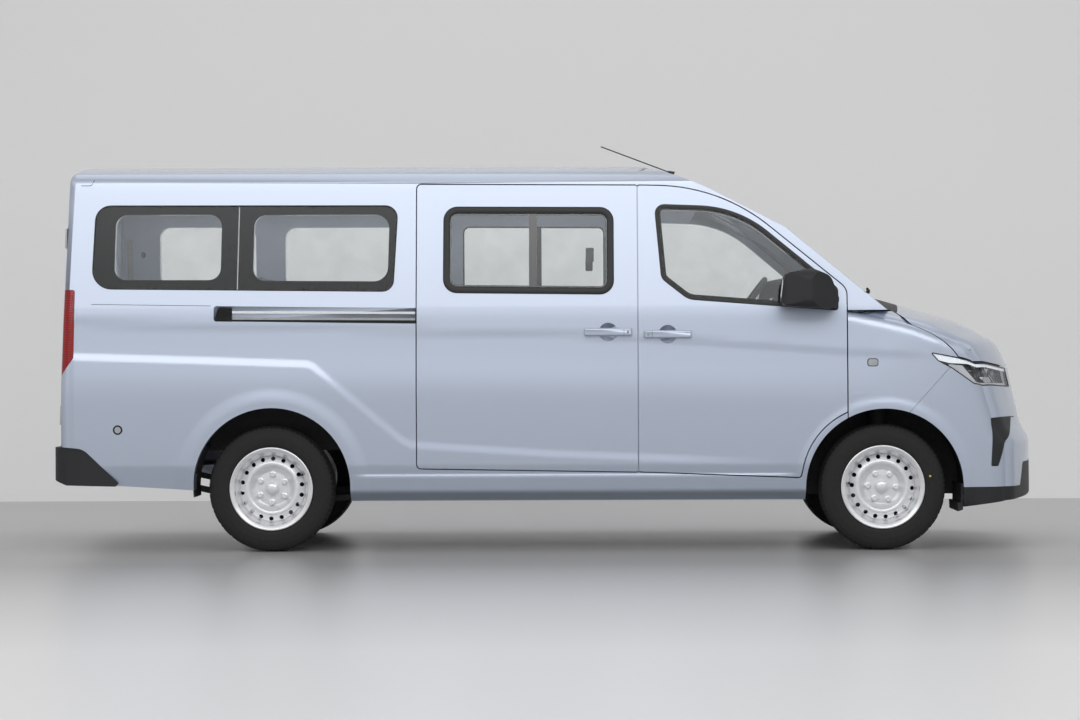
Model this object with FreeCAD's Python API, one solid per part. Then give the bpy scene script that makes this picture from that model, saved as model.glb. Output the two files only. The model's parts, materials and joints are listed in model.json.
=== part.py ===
import FreeCAD, Part

import math
import os

# Minibus with front doors, a sliding door, twin rear doors, a bonnet, steered front wheels and a battery
# under the floor.
#
# Frame: +X is forwards, +Y is the vehicle's left, +Z is up. The origin is on the ground, at the middle of the
# overall length and width. All sizes are in millimetres. Each sub-part is written to parts/NODE.step.

Vector = FreeCAD.Vector

# Driving dimensions.
wheelbase = 3050.0
front_axle_x = 1657.0
rear_axle_x = front_axle_x - wheelbase
tyre_radius = 314.0
wheel_y = 745.0            # centre plane of each wheel, from the middle of the vehicle
wall = 50.0                # cabin wall, roof and doors, skin to trim
front_wall = 28.0          # bonnet, wings and bumper
shut_gap = 6.0             # between a door and its opening
flange = 14.0              # depth of a door's outer flange, and how far its inner box steps in
glass_depth = 4.0
glass_thick = 5.0
seam_y = 721.0             # where the roof meets each side
rear_corner_radius = 40.0  # round the edge between the rear and the sides and roof
inner_corner_radius = 10.0  # the same edge, inside the walls

# Outlines: (a, b, corner radius), long curves are corners of large radius.
# Half of the cross-section in (y, z), from the sill to the roof's middle.
section_half = [
    (795, 252, 0), (858, 300, 25), (884, 430, 120), (903, 820, 1500), (880, 1180, 900), (774, 1892, 75),
]
roof_apex = (0, 2014.3, 4356)
sill_inner_y, sill_top = 760, 390

# Side view in (x, z). The screen and roof front are turned about an upright axis far behind the vehicle.
screen_line = [(-400, 1960, 0), (585, 1960, 1550), (1250, 1611, 0), (1800, 1156, 0)]
screen_axis_x = -3270.0
rear_line = [(-2403, 2000, 0), (-2439, 760, 2500), (-2439, -200, 0)]

# Bonnet and nose in (x, z), turned about an upright axis inside the cabin.
nose_line = [
    (1400, 1330, 0), (1700, 1262, 900), (2120, 1140, 600), (2318, 1030, 140), (2376, 905, 200),
    (2440, 620, 60), (2484, 540, 80), (2486, 330, 0), (2486, -200, 0),
]
nose_axis_x = 694.0
wing_plan = [(1300, 905, 0), (1935, 905, 2200), (2600, 739, 0)]

front_door = [
    (443, 398, 10), (1245, 367, 14), (1294, 601, 380), (1476, 691, 6), (1476, 1302, 70), (853, 1815, 900),
    (443, 1823, 8),
]
sliding_door = [(-660, 417, 20), (437, 397, 8), (437, 1823, 8), (-660, 1832, 22)]
rear_door = [(4, 535, 8), (782, 535, 30), (760, 1300, 3000), (706, 1826, 40), (4, 1826, 8)]

front_window = [
    (527, 1727, 42), (560, 1358, 50), (692, 1254, 100), (1432, 1196, 12), (1432, 1303, 30), (940, 1711, 560),
]
sliding_window = [(-520, 1298, 60), (312, 1287, 60), (312, 1706, 60), (-518, 1712, 60)]
quarter_recess = [(-2282, 1318, 95), (-780, 1299, 55), (-757, 1726, 60), (-2266, 1732, 75)]
quarter_clear = [
    [(-2172, 1360, 60), (-1640, 1358, 60), (-1636, 1686, 60), (-2168, 1688, 60)],
    [(-1478, 1354, 60), (-806, 1348, 70), (-797, 1683, 70), (-1474, 1684, 60)],
]
rear_window = [(95, 1290, 60), (640, 1290, 70), (606, 1725, 70), (95, 1725, 60)]
screen_opening = [(-762, 1232, 45), (762, 1232, 45), (668, 1812, 70), (-668, 1812, 70)]

wing_top_z = 1196.0
wing_rear_x = 1482.0
bonnet_seam = [(1712, 1203), (1755, 1165), (1903, 1090), (1955, 1049), (2006, 997), (2031, 963)]
bonnet_front = [(2290, 915), (2520, 890)]
headlamp = [
    (1885, 986, 6), (2035, 958, 0), (2400, 886, 0), (2420, 800, 0), (2289, 809, 0), (2109, 825, 30),
    (1999, 901, 20), (1925, 941, 10),
]
headlamp_inner_y = 430
bumper_seam = [(1760, 660), (1803, 707), (1990, 913)]
lip_top_z = 314.0
lip_foot_line = [(1900, 205), (2060, 216), (2240, 238), (2343, 250), (2420, 257), (2470, 270), (2560, 300)]
rear_bumper = [
    (-2520, 527, 0), (-2430, 527, 0), (-2325, 518, 90), (-2148, 346, 8), (-2165, 331, 0), (-2410, 337, 30),
    (-2475, 362, 30), (-2520, 420, 0),
]
tail_lamp = [(-2480, 1312, 0), (-2366, 1312, 12), (-2370, 972, 10), (-2432, 884, 6), (-2480, 884, 0)]
tail_lamp_inner_y = 800

arch_radius = 391.0
rear_low_edge = [(-2600, 345), (-2160, 334), (-1760, 310), (-1700, 310), (-1700, 0), (-2600, 0)]
fog_insert = [(2214, 655, 12), (2309, 655, 10), (2222, 424, 8), (2200, 424, 8)]
rail_groove = [(-1672, 1150, 16), (-640, 1136, 0), (-640, 1214, 0), (-1672, 1228, 16)]
rear_hinge_line = ((-2446.0, 640.0), (-2421.0, 1580.0))    # (x, z) of the leaning hinge axis, low and high
front_arch = (1663.0, 315.0)
rear_arch = (-1385.0, 329.0)


# Geometry helpers.
def unit(a, b):
    length = math.hypot(a, b)
    return a / length, b / length


def rounded_edges(points, place, closed=True):
    """Lines and arcs through (a, b, radius) corners, put in space by place(a, b)."""
    corners = []
    count = len(points)
    for i, (a, b, radius) in enumerate(points):
        if radius <= 0 or (not closed and i in (0, count - 1)):
            corners.append(((a, b), None, (a, b)))
            continue
        before, after = points[i - 1], points[(i + 1) % count]
        u = unit(before[0] - a, before[1] - b)
        v = unit(after[0] - a, after[1] - b)
        half = math.acos(max(-1.0, min(1.0, u[0] * v[0] + u[1] * v[1]))) / 2
        if math.pi / 2 - half < 1e-4:
            corners.append(((a, b), None, (a, b)))
            continue
        reach = radius / math.tan(half)
        mid = unit(u[0] + v[0], u[1] + v[1])
        away = radius / math.sin(half) - radius
        corners.append((
            (a + u[0] * reach, b + u[1] * reach),
            (a + mid[0] * away, b + mid[1] * away),
            (a + v[0] * reach, b + v[1] * reach),
        ))
    edges = []
    for i, (start, mid, end) in enumerate(corners):
        if mid:
            edges.append(Part.Arc(place(*start), place(*mid), place(*end)).toShape())
        if closed or i < count - 1:
            next_start = corners[(i + 1) % count][0]
            if math.hypot(next_start[0] - end[0], next_start[1] - end[1]) > 1e-4:
                edges.append(Part.LineSegment(place(*end), place(*next_start)).toShape())
    return edges


def offset(points, inset):
    """The same closed outline moved inwards by inset, or outwards where inset is negative."""
    count = len(points)
    area = sum(
        points[i - 1][0] * points[i][1] - points[i][0] * points[i - 1][1] for i in range(count)
    )
    side = 1.0 if area > 0 else -1.0
    lines = []
    for i in range(count):
        (a0, b0, _), (a1, b1, _) = points[i - 1], points[i]
        u = unit(a1 - a0, b1 - b0)
        normal = (-u[1] * side * inset, u[0] * side * inset)
        lines.append((a0 + normal[0], b0 + normal[1], u[0], u[1]))
    moved = []
    for i in range(count):
        a0, b0, ua, ub = lines[i]
        a1, b1, va, vb = lines[(i + 1) % count]
        cross = ua * vb - ub * va
        share = ((a1 - a0) * vb - (b1 - b0) * va) / cross
        convex = cross * side > 0
        radius = points[i][2]
        if radius > 0:
            radius = max(0.5, radius - inset if convex else radius + inset)
        moved.append((a0 + ua * share, b0 + ub * share, radius))
    return moved


def face_of(points, place):
    return Part.Face(Part.Wire(rounded_edges(points, place)))


def prism_x(points, x0, x1):
    """An outline in (y, z) carried along X."""
    return face_of(points, lambda y, z: Vector(x0, y, z)).extrude(Vector(x1 - x0, 0, 0))


def prism_y(points, y0, y1):
    """An outline in (x, z) carried along Y."""
    return face_of(points, lambda x, z: Vector(x, y0, z)).extrude(Vector(0, y1 - y0, 0))


def prism_z(points, z0, z1):
    """An outline in (x, y) carried along Z."""
    return face_of(points, lambda x, y: Vector(x, y, z0)).extrude(Vector(0, 0, z1 - z0))


def plain(points):
    return [(a, b, 0) for a, b in points]


def box(x0, x1, y0, y1, z0, z1):
    return Part.makeBox(x1 - x0, y1 - y0, z1 - z0, Vector(x0, y0, z0))


def rod(start, end, radius):
    start, end = Vector(*start), Vector(*end)
    return Part.makeCylinder(radius, (end - start).Length, start, end - start)


def turned(points, axis_x, degrees):
    """A region in (x, z) swept about the upright line x = axis_x, by degrees to each side of the middle."""
    face = face_of(points, lambda x, z: Vector(x, 0, z))
    face.rotate(Vector(axis_x, 0, 0), Vector(0, 0, 1), -degrees)
    return face.revolve(Vector(axis_x, 0, 0), Vector(0, 0, 1), 2 * degrees)


def mirrored(shape):
    return shape.mirror(Vector(0, 0, 0), Vector(0, 1, 0))


def joined(shapes):
    first, rest = shapes[0], shapes[1:]
    return first.fuse(rest).removeSplitter() if rest else first


def biggest(shape):
    """The largest solid of a cut, without the crumbs."""
    return max(shape.Solids, key=lambda solid: solid.Volume)


def save(name, *shapes):
    solids = [solid for shape in shapes for solid in shape.Solids]
    for solid in solids:
        if not solid.isValid():
            print("not valid:", name, round(solid.Volume))
    Part.makeCompound(solids).exportStep(os.path.join("parts", name + ".step"))
    print(name, len(solids), round(sum(solid.Volume for solid in solids) / 1e6, 2), "litres")


# Body volumes.
def above_line(line, inset):
    """The region above an open (x, z) line, moved down and back by inset."""
    far = [(line[-1][0] + 900, line[-1][1], 0), (line[-1][0] + 900, 2500, 0), (line[0][0], 2500, 0)]
    return offset(line + far, -inset)


def cabin(inset):
    """The volume of the cabin, from the sill up, moved in by inset on every side."""
    right = [(-y, z, r) for y, z, r in section_half]
    section = section_half + [roof_apex] + right[::-1]
    if inset:
        section = offset(section, inset)
        upper = [p for p in section[2:6]]
        low = [(sill_inner_y, 60, 0), (sill_inner_y, sill_top, 0), (884 - inset, sill_top, 0)]
        half = low + upper[1:]
        section = half + [section[6]] + [(-y, z, r) for y, z, r in half][::-1]
    body = prism_x(section, -2600, 1860)
    rear = rear_line + [(-2800, -200, 0), (-2800, 2000, 0)]
    body = body.cut(prism_y(offset(rear, -inset), -1000, 1000))
    body = biggest(body.cut(turned(above_line(screen_line, inset), screen_axis_x, 22)))
    corners = []
    for edge in body.Edges:
        if max(vertex.X for vertex in edge.Vertexes) < -2300 and edge.CenterOfMass.z > sill_top:
            corners.append(edge)
    return body.makeFillet(max(rear_corner_radius - inset, inner_corner_radius), corners)


def nose(inset):
    """The volume ahead of the cabin: bonnet, wings and bumper."""
    right = [(-y, z, r) for y, z, r in section_half]
    section = section_half + [roof_apex] + right[::-1]
    section[0] = (795, 150, 0)
    section[-1] = (-795, 150, 0)
    section[1] = (870, 230, 40)
    section[-2] = (-870, 230, 40)
    if inset:
        section = offset(section, inset)
        section[0] = (section[0][0], 60, 0)
        section[-1] = (section[-1][0], 60, 0)
    body = prism_x(section, wing_rear_x, 2600)
    left = wing_plan + [(2600, 0, 0), (1300, 0, 0)]
    plan = wing_plan + [(x, -y, r) for x, y, r in wing_plan][::-1]
    body = body.common(prism_z(offset(plan, inset), 0, 2000))
    body = body.cut(turned(above_line(nose_line, inset), nose_axis_x, 48))
    return biggest(body)


def layer(volume, outer, inner):
    return volumes[volume, outer].cut(volumes[volume, inner])


os.makedirs("parts", exist_ok=True)
rebate = flange + shut_gap         # depth of the jamb behind a door's flange
lining = 8.0                       # room kept between the doors and what stands inside them
volumes = {}
for depth in (0, glass_depth, glass_depth + glass_thick, flange, rebate, wall, wall + lining):
    volumes["cabin", depth] = cabin(depth)
for depth in (0, front_wall, front_wall + lining):
    volumes["nose", depth] = nose(depth)
glass_shell = layer("cabin", glass_depth, glass_depth + glass_thick)
glass_seat = layer("cabin", 0, glass_depth + glass_thick)
cabin_shell = layer("cabin", 0, wall)
outer_shell = layer("cabin", 0, flange)
inner_shell = layer("cabin", flange, wall)
jamb_outer = layer("cabin", 0, rebate)
nose_shell = layer("nose", 0, front_wall)
half_space = box(-2700, 2700, 0, 1300, 0, 2200)


def across(points, side):
    """An outline in (x, z) carried through one side of the body."""
    return prism_y(points, side * 560, side * 1100)


def through_rear(points, side):
    """An outline in (y, z) carried through the back of the body."""
    return prism_x([(side * y, z, r) for y, z, r in points][::side], -2620, -2330)


# Glazing.
def pane(outline, carry, side):
    return glass_shell.common(carry(outline, side))


def glazed(body, outline, clear_outlines, carry, side):
    """Cut the seat of a bonded pane and the clear openings behind it."""
    body = body.cut(glass_seat.common(carry(outline, side)))
    for clear in clear_outlines:
        body = body.cut(carry(clear, side))
    return body


def through_screen(points, side):
    return prism_x(points, 860, 2000)


frit = 24.0                # black border of a bonded pane
door_clear = [offset(front_window, frit)]
sliding_clear = [offset(sliding_window, frit)]
rear_clear = [rear_window]
rear_glass_outline = offset(rear_window, -frit)
screen_glass_outline = offset(screen_opening, -frit)


# Doors and the openings they leave.
def door_leaf(outline, carry, side):
    outer = outer_shell.common(carry(outline, side))
    inner = inner_shell.common(carry(offset(outline, flange), side))
    return biggest(outer.fuse(inner).removeSplitter())


def door_opening(outline, carry, side, hinge_zone):
    """The space a door leaves: wide in front of the jamb, narrower behind it except at the hinges."""
    wide = carry(offset(outline, -shut_gap), side)
    narrow = carry(offset(outline, shut_gap), side)
    return [wide.common(jamb_outer), narrow, wide.common(hinge_zone)]


front_hinge_zone = box(1405, 1600, -1000, 1000, 0, 2000)
rear_hinge_zone = box(-2600, -2300, 660, 1000, 0, 1800).fuse(box(-2600, -2300, -1000, -660, 0, 1800))
no_zone = box(-3000, -2990, 0, 10, 0, 10)


def cut_all(body, tools):
    for tool in tools:
        body = body.cut(tool)
    return body


handle_skin_y = 888.0              # the skin beside the handles
cup_radius = 46.0


def with_handle(leaf, x, z, side):
    """A pull handle on two feet over a shallow round cup in the door's skin."""
    cup = rod((x, handle_skin_y - 11, z), (x, handle_skin_y + 30, z), cup_radius)
    bar = box(x - 119, x + 119, handle_skin_y - 3, handle_skin_y + 22, z - 20, z + 20)
    bar = bar.makeFillet(9.0, bar.Edges)
    grip_space = box(x - 56, x + 56, handle_skin_y - 20, handle_skin_y + 8, z - 30, z + 30)
    bar = bar.cut(grip_space)
    if side < 0:
        cup, bar = mirrored(cup), mirrored(bar)
    return biggest(leaf.cut(cup).fuse(bar))


front_doors, front_panes = {}, {}
for side, name in ((1, "left"), (-1, "right")):
    leaf = glazed(door_leaf(front_door, across, side), front_window, door_clear, across, side)
    front_doors[name] = with_handle(leaf, 588, 1079, side)
    front_panes[name] = pane(front_window, across, side)
    save("front_door_" + name, front_doors[name])
    save("front_door_glass_" + name, front_panes[name])

sliding = glazed(door_leaf(sliding_door, across, -1), sliding_window, sliding_clear, across, -1)
save("sliding_door", with_handle(sliding, 292, 1091, -1))

# The rear doors hang on two exposed hinges a side, on one leaning axis.
low_x, low_z = rear_hinge_line[0]
high_x, high_z = rear_hinge_line[1]
hinge_low = Vector(low_x, 790, low_z)
hinge_high = Vector(high_x, 752, high_z)
hinge_axis = (hinge_high - hinge_low).normalize()
hinge_heights = (685.0, 1571.0)
knuckle_radius, hinge_pin_radius, hinge_length = 9.0, 5.0, 96.0


def on_hinge(shape, z):
    """Move a shape built round the Z axis at the origin onto the left rear door's axis at height z."""
    place = hinge_low + hinge_axis * ((z - low_z) / hinge_axis.z)
    turn = FreeCAD.Rotation(Vector(0, 0, 1), hinge_axis)
    return shape.transformed(FreeCAD.Placement(place, turn).toMatrix())


def knuckle(z0, z1, bore):
    outer = rod((0, 0, z0), (0, 0, z1), knuckle_radius)
    return outer.cut(rod((0, 0, z0 - 1), (0, 0, z1 + 1), bore)) if bore else outer


half_hinge, third = hinge_length / 2, hinge_length / 6
bore = hinge_pin_radius + 0.3
leaf_inner, leaf_outer = -3.0, 6.0      # a hinge leaf's faces, either side of the axis
door_hinges, body_hinges, hinge_notches, strap_notches = [], [], [], []
for z in hinge_heights:
    strap = box(leaf_inner, leaf_outer, -74, -5, -half_hinge, half_hinge)
    strap = strap.cut(box(-20, 20, -13, 0, -third - 1, third + 1))
    strap = strap.cut(rod((0, 0, -60), (0, 0, 60), bore))
    ends = [knuckle(-half_hinge, -third - 0.5, bore), knuckle(third + 0.5, half_hinge, bore)]
    door_hinges.append(on_hinge(joined([strap] + ends), z))
    plate = box(leaf_inner, leaf_outer, 5, 46, -half_hinge, half_hinge).cut(box(-20, 20, 0, 13, third, 60))
    plate = plate.cut(box(-20, 20, 0, 13, -60, -third))
    pin = rod((0, 0, -half_hinge - 3), (0, 0, half_hinge + 3), hinge_pin_radius)
    body_hinges.append(on_hinge(joined([plate, knuckle(-third, third, 0), pin]), z))
    notch = rod((0, 0, -half_hinge - 6), (0, 0, half_hinge + 6), knuckle_radius + 4)
    hinge_notches.append(on_hinge(notch, z))
    strap_notches.append(on_hinge(box(-6, 9, -80, 0, -half_hinge - 3, half_hinge + 3), z))

for side, name in ((1, "left"), (-1, "right")):
    leaf = door_leaf(rear_door, through_rear, side)
    leaf = glazed(leaf, rear_glass_outline, rear_clear, through_rear, side)
    for notch, strap in zip(hinge_notches, door_hinges):
        if side < 0:
            notch, strap = mirrored(notch), mirrored(strap)
        leaf = leaf.cut(notch).fuse(strap)
    save("rear_door_" + name, biggest(leaf))
    save("rear_door_glass_" + name, pane(rear_glass_outline, through_rear, side))

# Wheel arches.
arch_tools = []
for x, z in (front_arch, rear_arch):
    for side in (1, -1):
        tool = rod((x, side * 560, z), (x, side * 1100, z), arch_radius)
        low = box(x - arch_radius, x + arch_radius, 560, 1100, -10, z)
        arch_tools.append(tool.fuse(low if side > 0 else mirrored(low)))

# Cabin sides, roof.
roof_box = box(-2700, 905, -seam_y, seam_y, 1700, 2100)
scuttle_box = box(1300, 2000, -seam_y, seam_y, 60, 1300)
rear_low_box = box(-2700, -2300, -seam_y, seam_y, 60, 600)
engine_bay_box = box(wing_rear_x - shut_gap + 1, 2000, -1000, 1000, 0, wing_top_z)
screen_hole = through_screen(screen_opening, 0)
screen_seat = glass_seat.common(through_screen(screen_glass_outline, 0))
frame_shell = cut_all(cabin_shell, [screen_hole, screen_seat])
sides = cut_all(frame_shell, [roof_box, scuttle_box, rear_low_box, engine_bay_box] + arch_tools)


def lamp_block(outline, side, inner_y):
    return prism_y(outline, side * inner_y, side * 1100)


rail_floor_y = 868.0
side_panels = {}
for side, name in ((1, "left"), (-1, "right")):
    panel = sides.common(half_space if side > 0 else mirrored(half_space))
    panel = cut_all(panel, door_opening(front_door, across, side, front_hinge_zone))
    if side < 0:
        panel = cut_all(panel, door_opening(sliding_door, across, side, no_zone))
    else:
        panel = glazed(panel, sliding_window, sliding_clear, across, side)
    panel = glazed(panel, quarter_recess, quarter_clear, across, side)
    panel = cut_all(panel, door_opening(rear_door, through_rear, side, rear_hinge_zone))
    panel = panel.cut(lamp_block(tail_lamp, side, tail_lamp_inner_y))
    panel = panel.cut(across(plain(rear_low_edge), side)).cut(prism_y(offset(rear_bumper, -1), -1000, 1000))
    if side < 0:
        panel = panel.cut(prism_y(rail_groove, -1000, -rail_floor_y))
    for notch in hinge_notches + strap_notches:
        panel = panel.cut(notch if side > 0 else mirrored(notch))
    save("side_" + name, biggest(panel))
    side_panels[name] = biggest(panel)

hinges = []
for side, name in ((1, "left"), (-1, "right")):
    for part in body_hinges:
        part = part if side > 0 else mirrored(part)
        hinges.append(biggest(part.cut(side_panels[name])))
save("rear_hinges", *hinges)

roof = cut_all(frame_shell.common(roof_box), door_opening(sliding_door, across, -1, no_zone))
for side in (1, -1):
    roof = cut_all(roof, door_opening(rear_door, through_rear, side, rear_hinge_zone))
    roof = cut_all(roof, door_opening(front_door, across, side, front_hinge_zone))
rack_hole_x, rack_hole_y, rack_hole_radius = (-1850.0, -250.0), 620.0, 4.2
for x in rack_hole_x:
    for y in (rack_hole_y, -rack_hole_y):
        roof = roof.cut(rod((x, y, 1890), (x, y, 2000), rack_hole_radius))
roof = biggest(roof)
save("roof", roof)

windscreen = pane(screen_glass_outline, through_screen, 0)
fixed_panes = [windscreen, pane(sliding_window, across, 1), pane(sliding_window, across, -1)]
for side in (1, -1):
    fixed_panes.append(pane(quarter_recess, across, side))
save("fixed_glass", *fixed_panes)

save("tail_lamps", *[
    cabin_shell.common(lamp_block(offset(tail_lamp, 1), side, tail_lamp_inner_y + 1)) for side in (1, -1)
])

# Nose: bonnet, wings, bumper, lamps.
bonnet_rear_x = 1792.0             # on the centreline, bowed back to each side
cabin_body = volumes["cabin", 0]
ahead_of_seam = [(1560, 1262), *bonnet_seam, *bonnet_front, (2700, 890), (2700, 1500), (1560, 1500)]


def behind_arc(x):
    """Everything behind a bowed upright wall that crosses the centreline at x."""
    inner_x = screen_axis_x + 3000
    return turned(plain([(inner_x, 0), (x, 0), (x, 2200), (inner_x, 2200)]), screen_axis_x, 22)


under_bonnet = prism_y(plain(ahead_of_seam), -1000, 1000)
gap_seam = [(x - 0.4 * shut_gap, z - shut_gap) for x, z in ahead_of_seam[:-3]]
gap_seam += [(2700, 884), (2700, 1500), (1560, 1500)]
over_wings = prism_y(plain(gap_seam), -1000, 1000)
bonnet = nose_shell.common(under_bonnet).cut(behind_arc(bonnet_rear_x))
save("bonnet", biggest(bonnet))

cowl = nose_shell.common(over_wings).common(behind_arc(bonnet_rear_x - shut_gap)).cut(cabin_body)
cowl = cowl.cut(box(1200, 1990, -1000, 1000, 0, wing_top_z - 60))
scuttle = frame_shell.common(scuttle_box).cut(box(1300, 2000, -1000, 1000, 0, 1120))
save("cowl", biggest(cowl))

skin = nose_shell.cut(over_wings)
skin = skin.cut(box(1000, 2700, -1100, 1100, wing_top_z - shut_gap, 2000))
bumper_zone = bumper_seam + [(2031, 940), (2700, 872), (2700, 0), (1760, 0)]
bumper_region = prism_y(plain(bumper_zone), -1100, 1100)
lamp_region = []
for side in (1, -1):
    lamp_region.append(lamp_block(headlamp, side, headlamp_inner_y))
skin = cut_all(skin, arch_tools[:2] + lamp_region)
fog_blocks = [lamp_block(fog_insert, side, 540) for side in (1, -1)]
wing_skin = skin.cut(bumper_region).common(box(wing_rear_x, 2300, -1100, 1100, 300, 1300))
wings = []
for side in (1, -1):
    wings.append(biggest(wing_skin.common(half_space if side > 0 else mirrored(half_space))))
save("wings", *wings)

# The black lower part of the bumper, higher in the middle.
valance = prism_x([
    (-650, lip_top_z, 0), (-585, 430, 30), (585, 430, 30), (650, lip_top_z, 0), (650, 0, 0), (-650, 0, 0),
], 2150, 2700)
valance = valance.fuse(box(1700, 2700, -1100, 1100, -10, lip_top_z)).removeSplitter()
bumper = skin.common(prism_y(offset(plain(bumper_zone), 1.5), -1100, 1100)).cut(valance)
for block in fog_blocks:
    bumper = bumper.cut(block)
plate_hole_y, plate_hole_z, plate_hole_radius = 230.0, 560.0, 2.6
for y in (plate_hole_y, -plate_hole_y):
    bumper = bumper.cut(rod((2380, y, plate_hole_z), (2520, y, plate_hole_z), plate_hole_radius))
save("front_bumper", biggest(bumper))
lamp_outline = offset(headlamp, 1.5)
save("headlamps", *[
    nose_shell.common(lamp_block(lamp_outline, side, headlamp_inner_y + 2)) for side in (1, -1)
])
fog_inserts = [biggest(nose_shell.common(lamp_block(offset(fog_insert, 1), side, 541))) for side in (1, -1)]
lip = nose_shell.common(valance).cut(box(1400, 2052, -1200, 1200, 0, 400))
lip_foot = prism_y(plain(lip_foot_line + [(2700, 0), (1900, 0)]), -1100, 1100)
front_lip = biggest(lip.cut(lip_foot).cut(arch_tools[0]).cut(arch_tools[1]))
save("front_trim", front_lip, *fog_inserts)

# Floor with its rear sill, arch liners and bulkhead.
rear_sill_shape = frame_shell.common(rear_low_box)
for side in (1, -1):
    rear_sill_shape = cut_all(rear_sill_shape, door_opening(rear_door, through_rear, side, rear_hinge_zone))
rear_sill_shape = rear_sill_shape.cut(box(-2600, -2300, -1000, 1000, 0, 345))
rear_sill_shape = rear_sill_shape.cut(prism_y(offset(rear_bumper, -1), -1000, 1000))
floor_bottom, floor_top = 352.0, 390.0
rear_floor_bottom, rear_floor_top = 500.0, 538.0
step_x = -690.0                    # where the floor steps up over the rear axle
housing_wall = 10.0
housing_gap = 24.0                 # between an arch's edge and its housing
inner_room = volumes["cabin", wall + lining].fuse(volumes["nose", front_wall + lining])
pan_parts = [
    box(step_x - 30, 1490, -760, 760, floor_bottom, floor_top),
    box(step_x - 30, step_x, -760, 760, floor_bottom, rear_floor_top),
    box(-2415, step_x, -870, 870, rear_floor_bottom, rear_floor_top).common(volumes["cabin", wall]),
    biggest(rear_sill_shape),
]
housing_hollows, liners = [], []
for (x, z), inner_y, foot_z in ((front_arch, 440, 262), (rear_arch, 575, 366)):
    for side in (1, -1):
        radius = arch_radius + housing_gap
        outer = rod((x, side * (inner_y - housing_wall), z), (x, side * 900, z), radius + housing_wall)
        hollow = rod((x, side * inner_y, z), (x, side * 1000, z), radius)
        low = box(x - radius, x + radius, inner_y, 1000, -10, z)
        hollow = hollow.fuse(low if side > 0 else mirrored(low))
        housing_hollows.append(hollow)
        liner = outer.cut(box(-3000, 3000, -1000, 1000, -200, foot_z)).common(inner_room).cut(hollow)
        liners.append(liner)
pan = pan_parts[0]
for shape in pan_parts[1:]:
    pan = pan.fuse(shape)
pan = biggest(cut_all(pan, housing_hollows).removeSplitter())
save("floor", pan)
liners = [biggest(liner.cut(pan)) for liner in liners]
save("arch_liners", *liners)
bulkhead = box(1470, 1490, -845, 845, floor_bottom, 1180).common(inner_room).fuse(biggest(scuttle))
bulkhead = cut_all(bulkhead, housing_hollows + [pan] + liners)
save("bulkhead", biggest(bulkhead.removeSplitter()))

# Rear bumper.
bumper_plan = [
    (-2478, -872, 90), (-2478, 872, 90), (-2340, 888, 0), (-2100, 892, 0), (-2100, -892, 0), (-2340, -888, 0),
]
block = prism_y(rear_bumper, -915, 915).common(prism_z(bumper_plan, 0, 600))
core = prism_z(offset(bumper_plan, 26), 0, 505)
bumper_back = biggest(block.cut(core))
bumper_back = bumper_back.cut(pan)
save("rear_bumper", biggest(bumper_back))

# Suspension.
axle_z = tyre_radius
hub_y = 690.0


def y_rod(x, z, y0, y1, radius):
    return rod((x, y0, z), (x, y1, z), radius)


spring_y = (470.0, 535.0)
rear_parts = [
    y_rod(rear_axle_x, axle_z, -hub_y, hub_y, 38),
    Part.makeSphere(118, Vector(rear_axle_x, 0, axle_z)),
]
for side in (1, -1):
    rear_parts.append(y_rod(rear_axle_x, axle_z, side * (hub_y - 10), side * 752, 27))
    spring = prism_y([
        (-2060, 352, 0), (-1720, 276, 300), (-1450, 240, 900), (-1100, 238, 900), (-700, 268, 0),
        (-700, 292, 0), (-1100, 266, 900), (-1450, 268, 900), (-1720, 304, 300), (-2060, 380, 0),
    ], side * spring_y[0], side * spring_y[1])
    rear_parts.append(spring)
    mid_y = side * sum(spring_y) / 2
    rear_parts.append(box(rear_axle_x - 55, rear_axle_x + 55, mid_y - 42, mid_y + 42, 226, 330))
    rear_parts.append(box(-2075, -2045, mid_y - 20, mid_y + 20, 370, rear_floor_bottom))
    rear_parts.append(box(-722, -698, mid_y - 24, mid_y + 24, 276, floor_bottom))
save("rear_axle", joined(rear_parts))

# Each front wheel steers about a leaning line from the lower ball joint to the strut's top.
ball_y, ball_z = 665.0, 205.0
strut_y, strut_z = 545.0, 800.0


def on_kingpin(z):
    return ball_y + (strut_y - ball_y) * (z - ball_z) / (strut_z - ball_z)


def kingpin_rod(z0, z1, radius, side):
    return rod((front_axle_x, side * on_kingpin(z0), z0), (front_axle_x, side * on_kingpin(z1), z1), radius)


cross = box(1592, 1722, -330, 330, 205, 262)
front_solids = [cross]
struts = []
for side in (1, -1):
    arm = [(1560, 300, 0), (1754, 300, 0), (1690, 688, 24), (1624, 688, 24)]
    arm = prism_z([(x, side * y, r) for x, y, r in arm][::side], 192, 216)
    front_solids += [arm, kingpin_rod(204, 246, 11, side)]
    strut = joined([
        kingpin_rod(424, 640, 22, side),
        kingpin_rod(392, 430, 13, side),
        kingpin_rod(560, strut_z - 60, 52, side),
    ])
    struts.append(cut_all(strut, [pan] + liners))
save("front_suspension", joined(front_solids), *[biggest(strut) for strut in struts])

for side, name in ((1, "left"), (-1, "right")):
    y0, y1 = sorted((side * 612, side * 690))
    body = box(front_axle_x - 28, front_axle_x + 28, y0, y1, 226, 416).common(kingpin_rod(100, 600, 40, side))
    body = body.cut(kingpin_rod(150, 252, 11.4, side)).cut(kingpin_rod(386, 600, 13.4, side))
    spindle = rod((front_axle_x, side * 640, axle_z), (front_axle_x, side * 752, axle_z), 27)
    carrier = rod((front_axle_x, side * 646, axle_z), (front_axle_x, side * 700, axle_z), 56)
    arm = box(front_axle_x - 150, front_axle_x, *sorted((side * 610, side * 640)), 270, 296)
    save("knuckle_" + name, joined([body, spindle, carrier, arm]))

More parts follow.
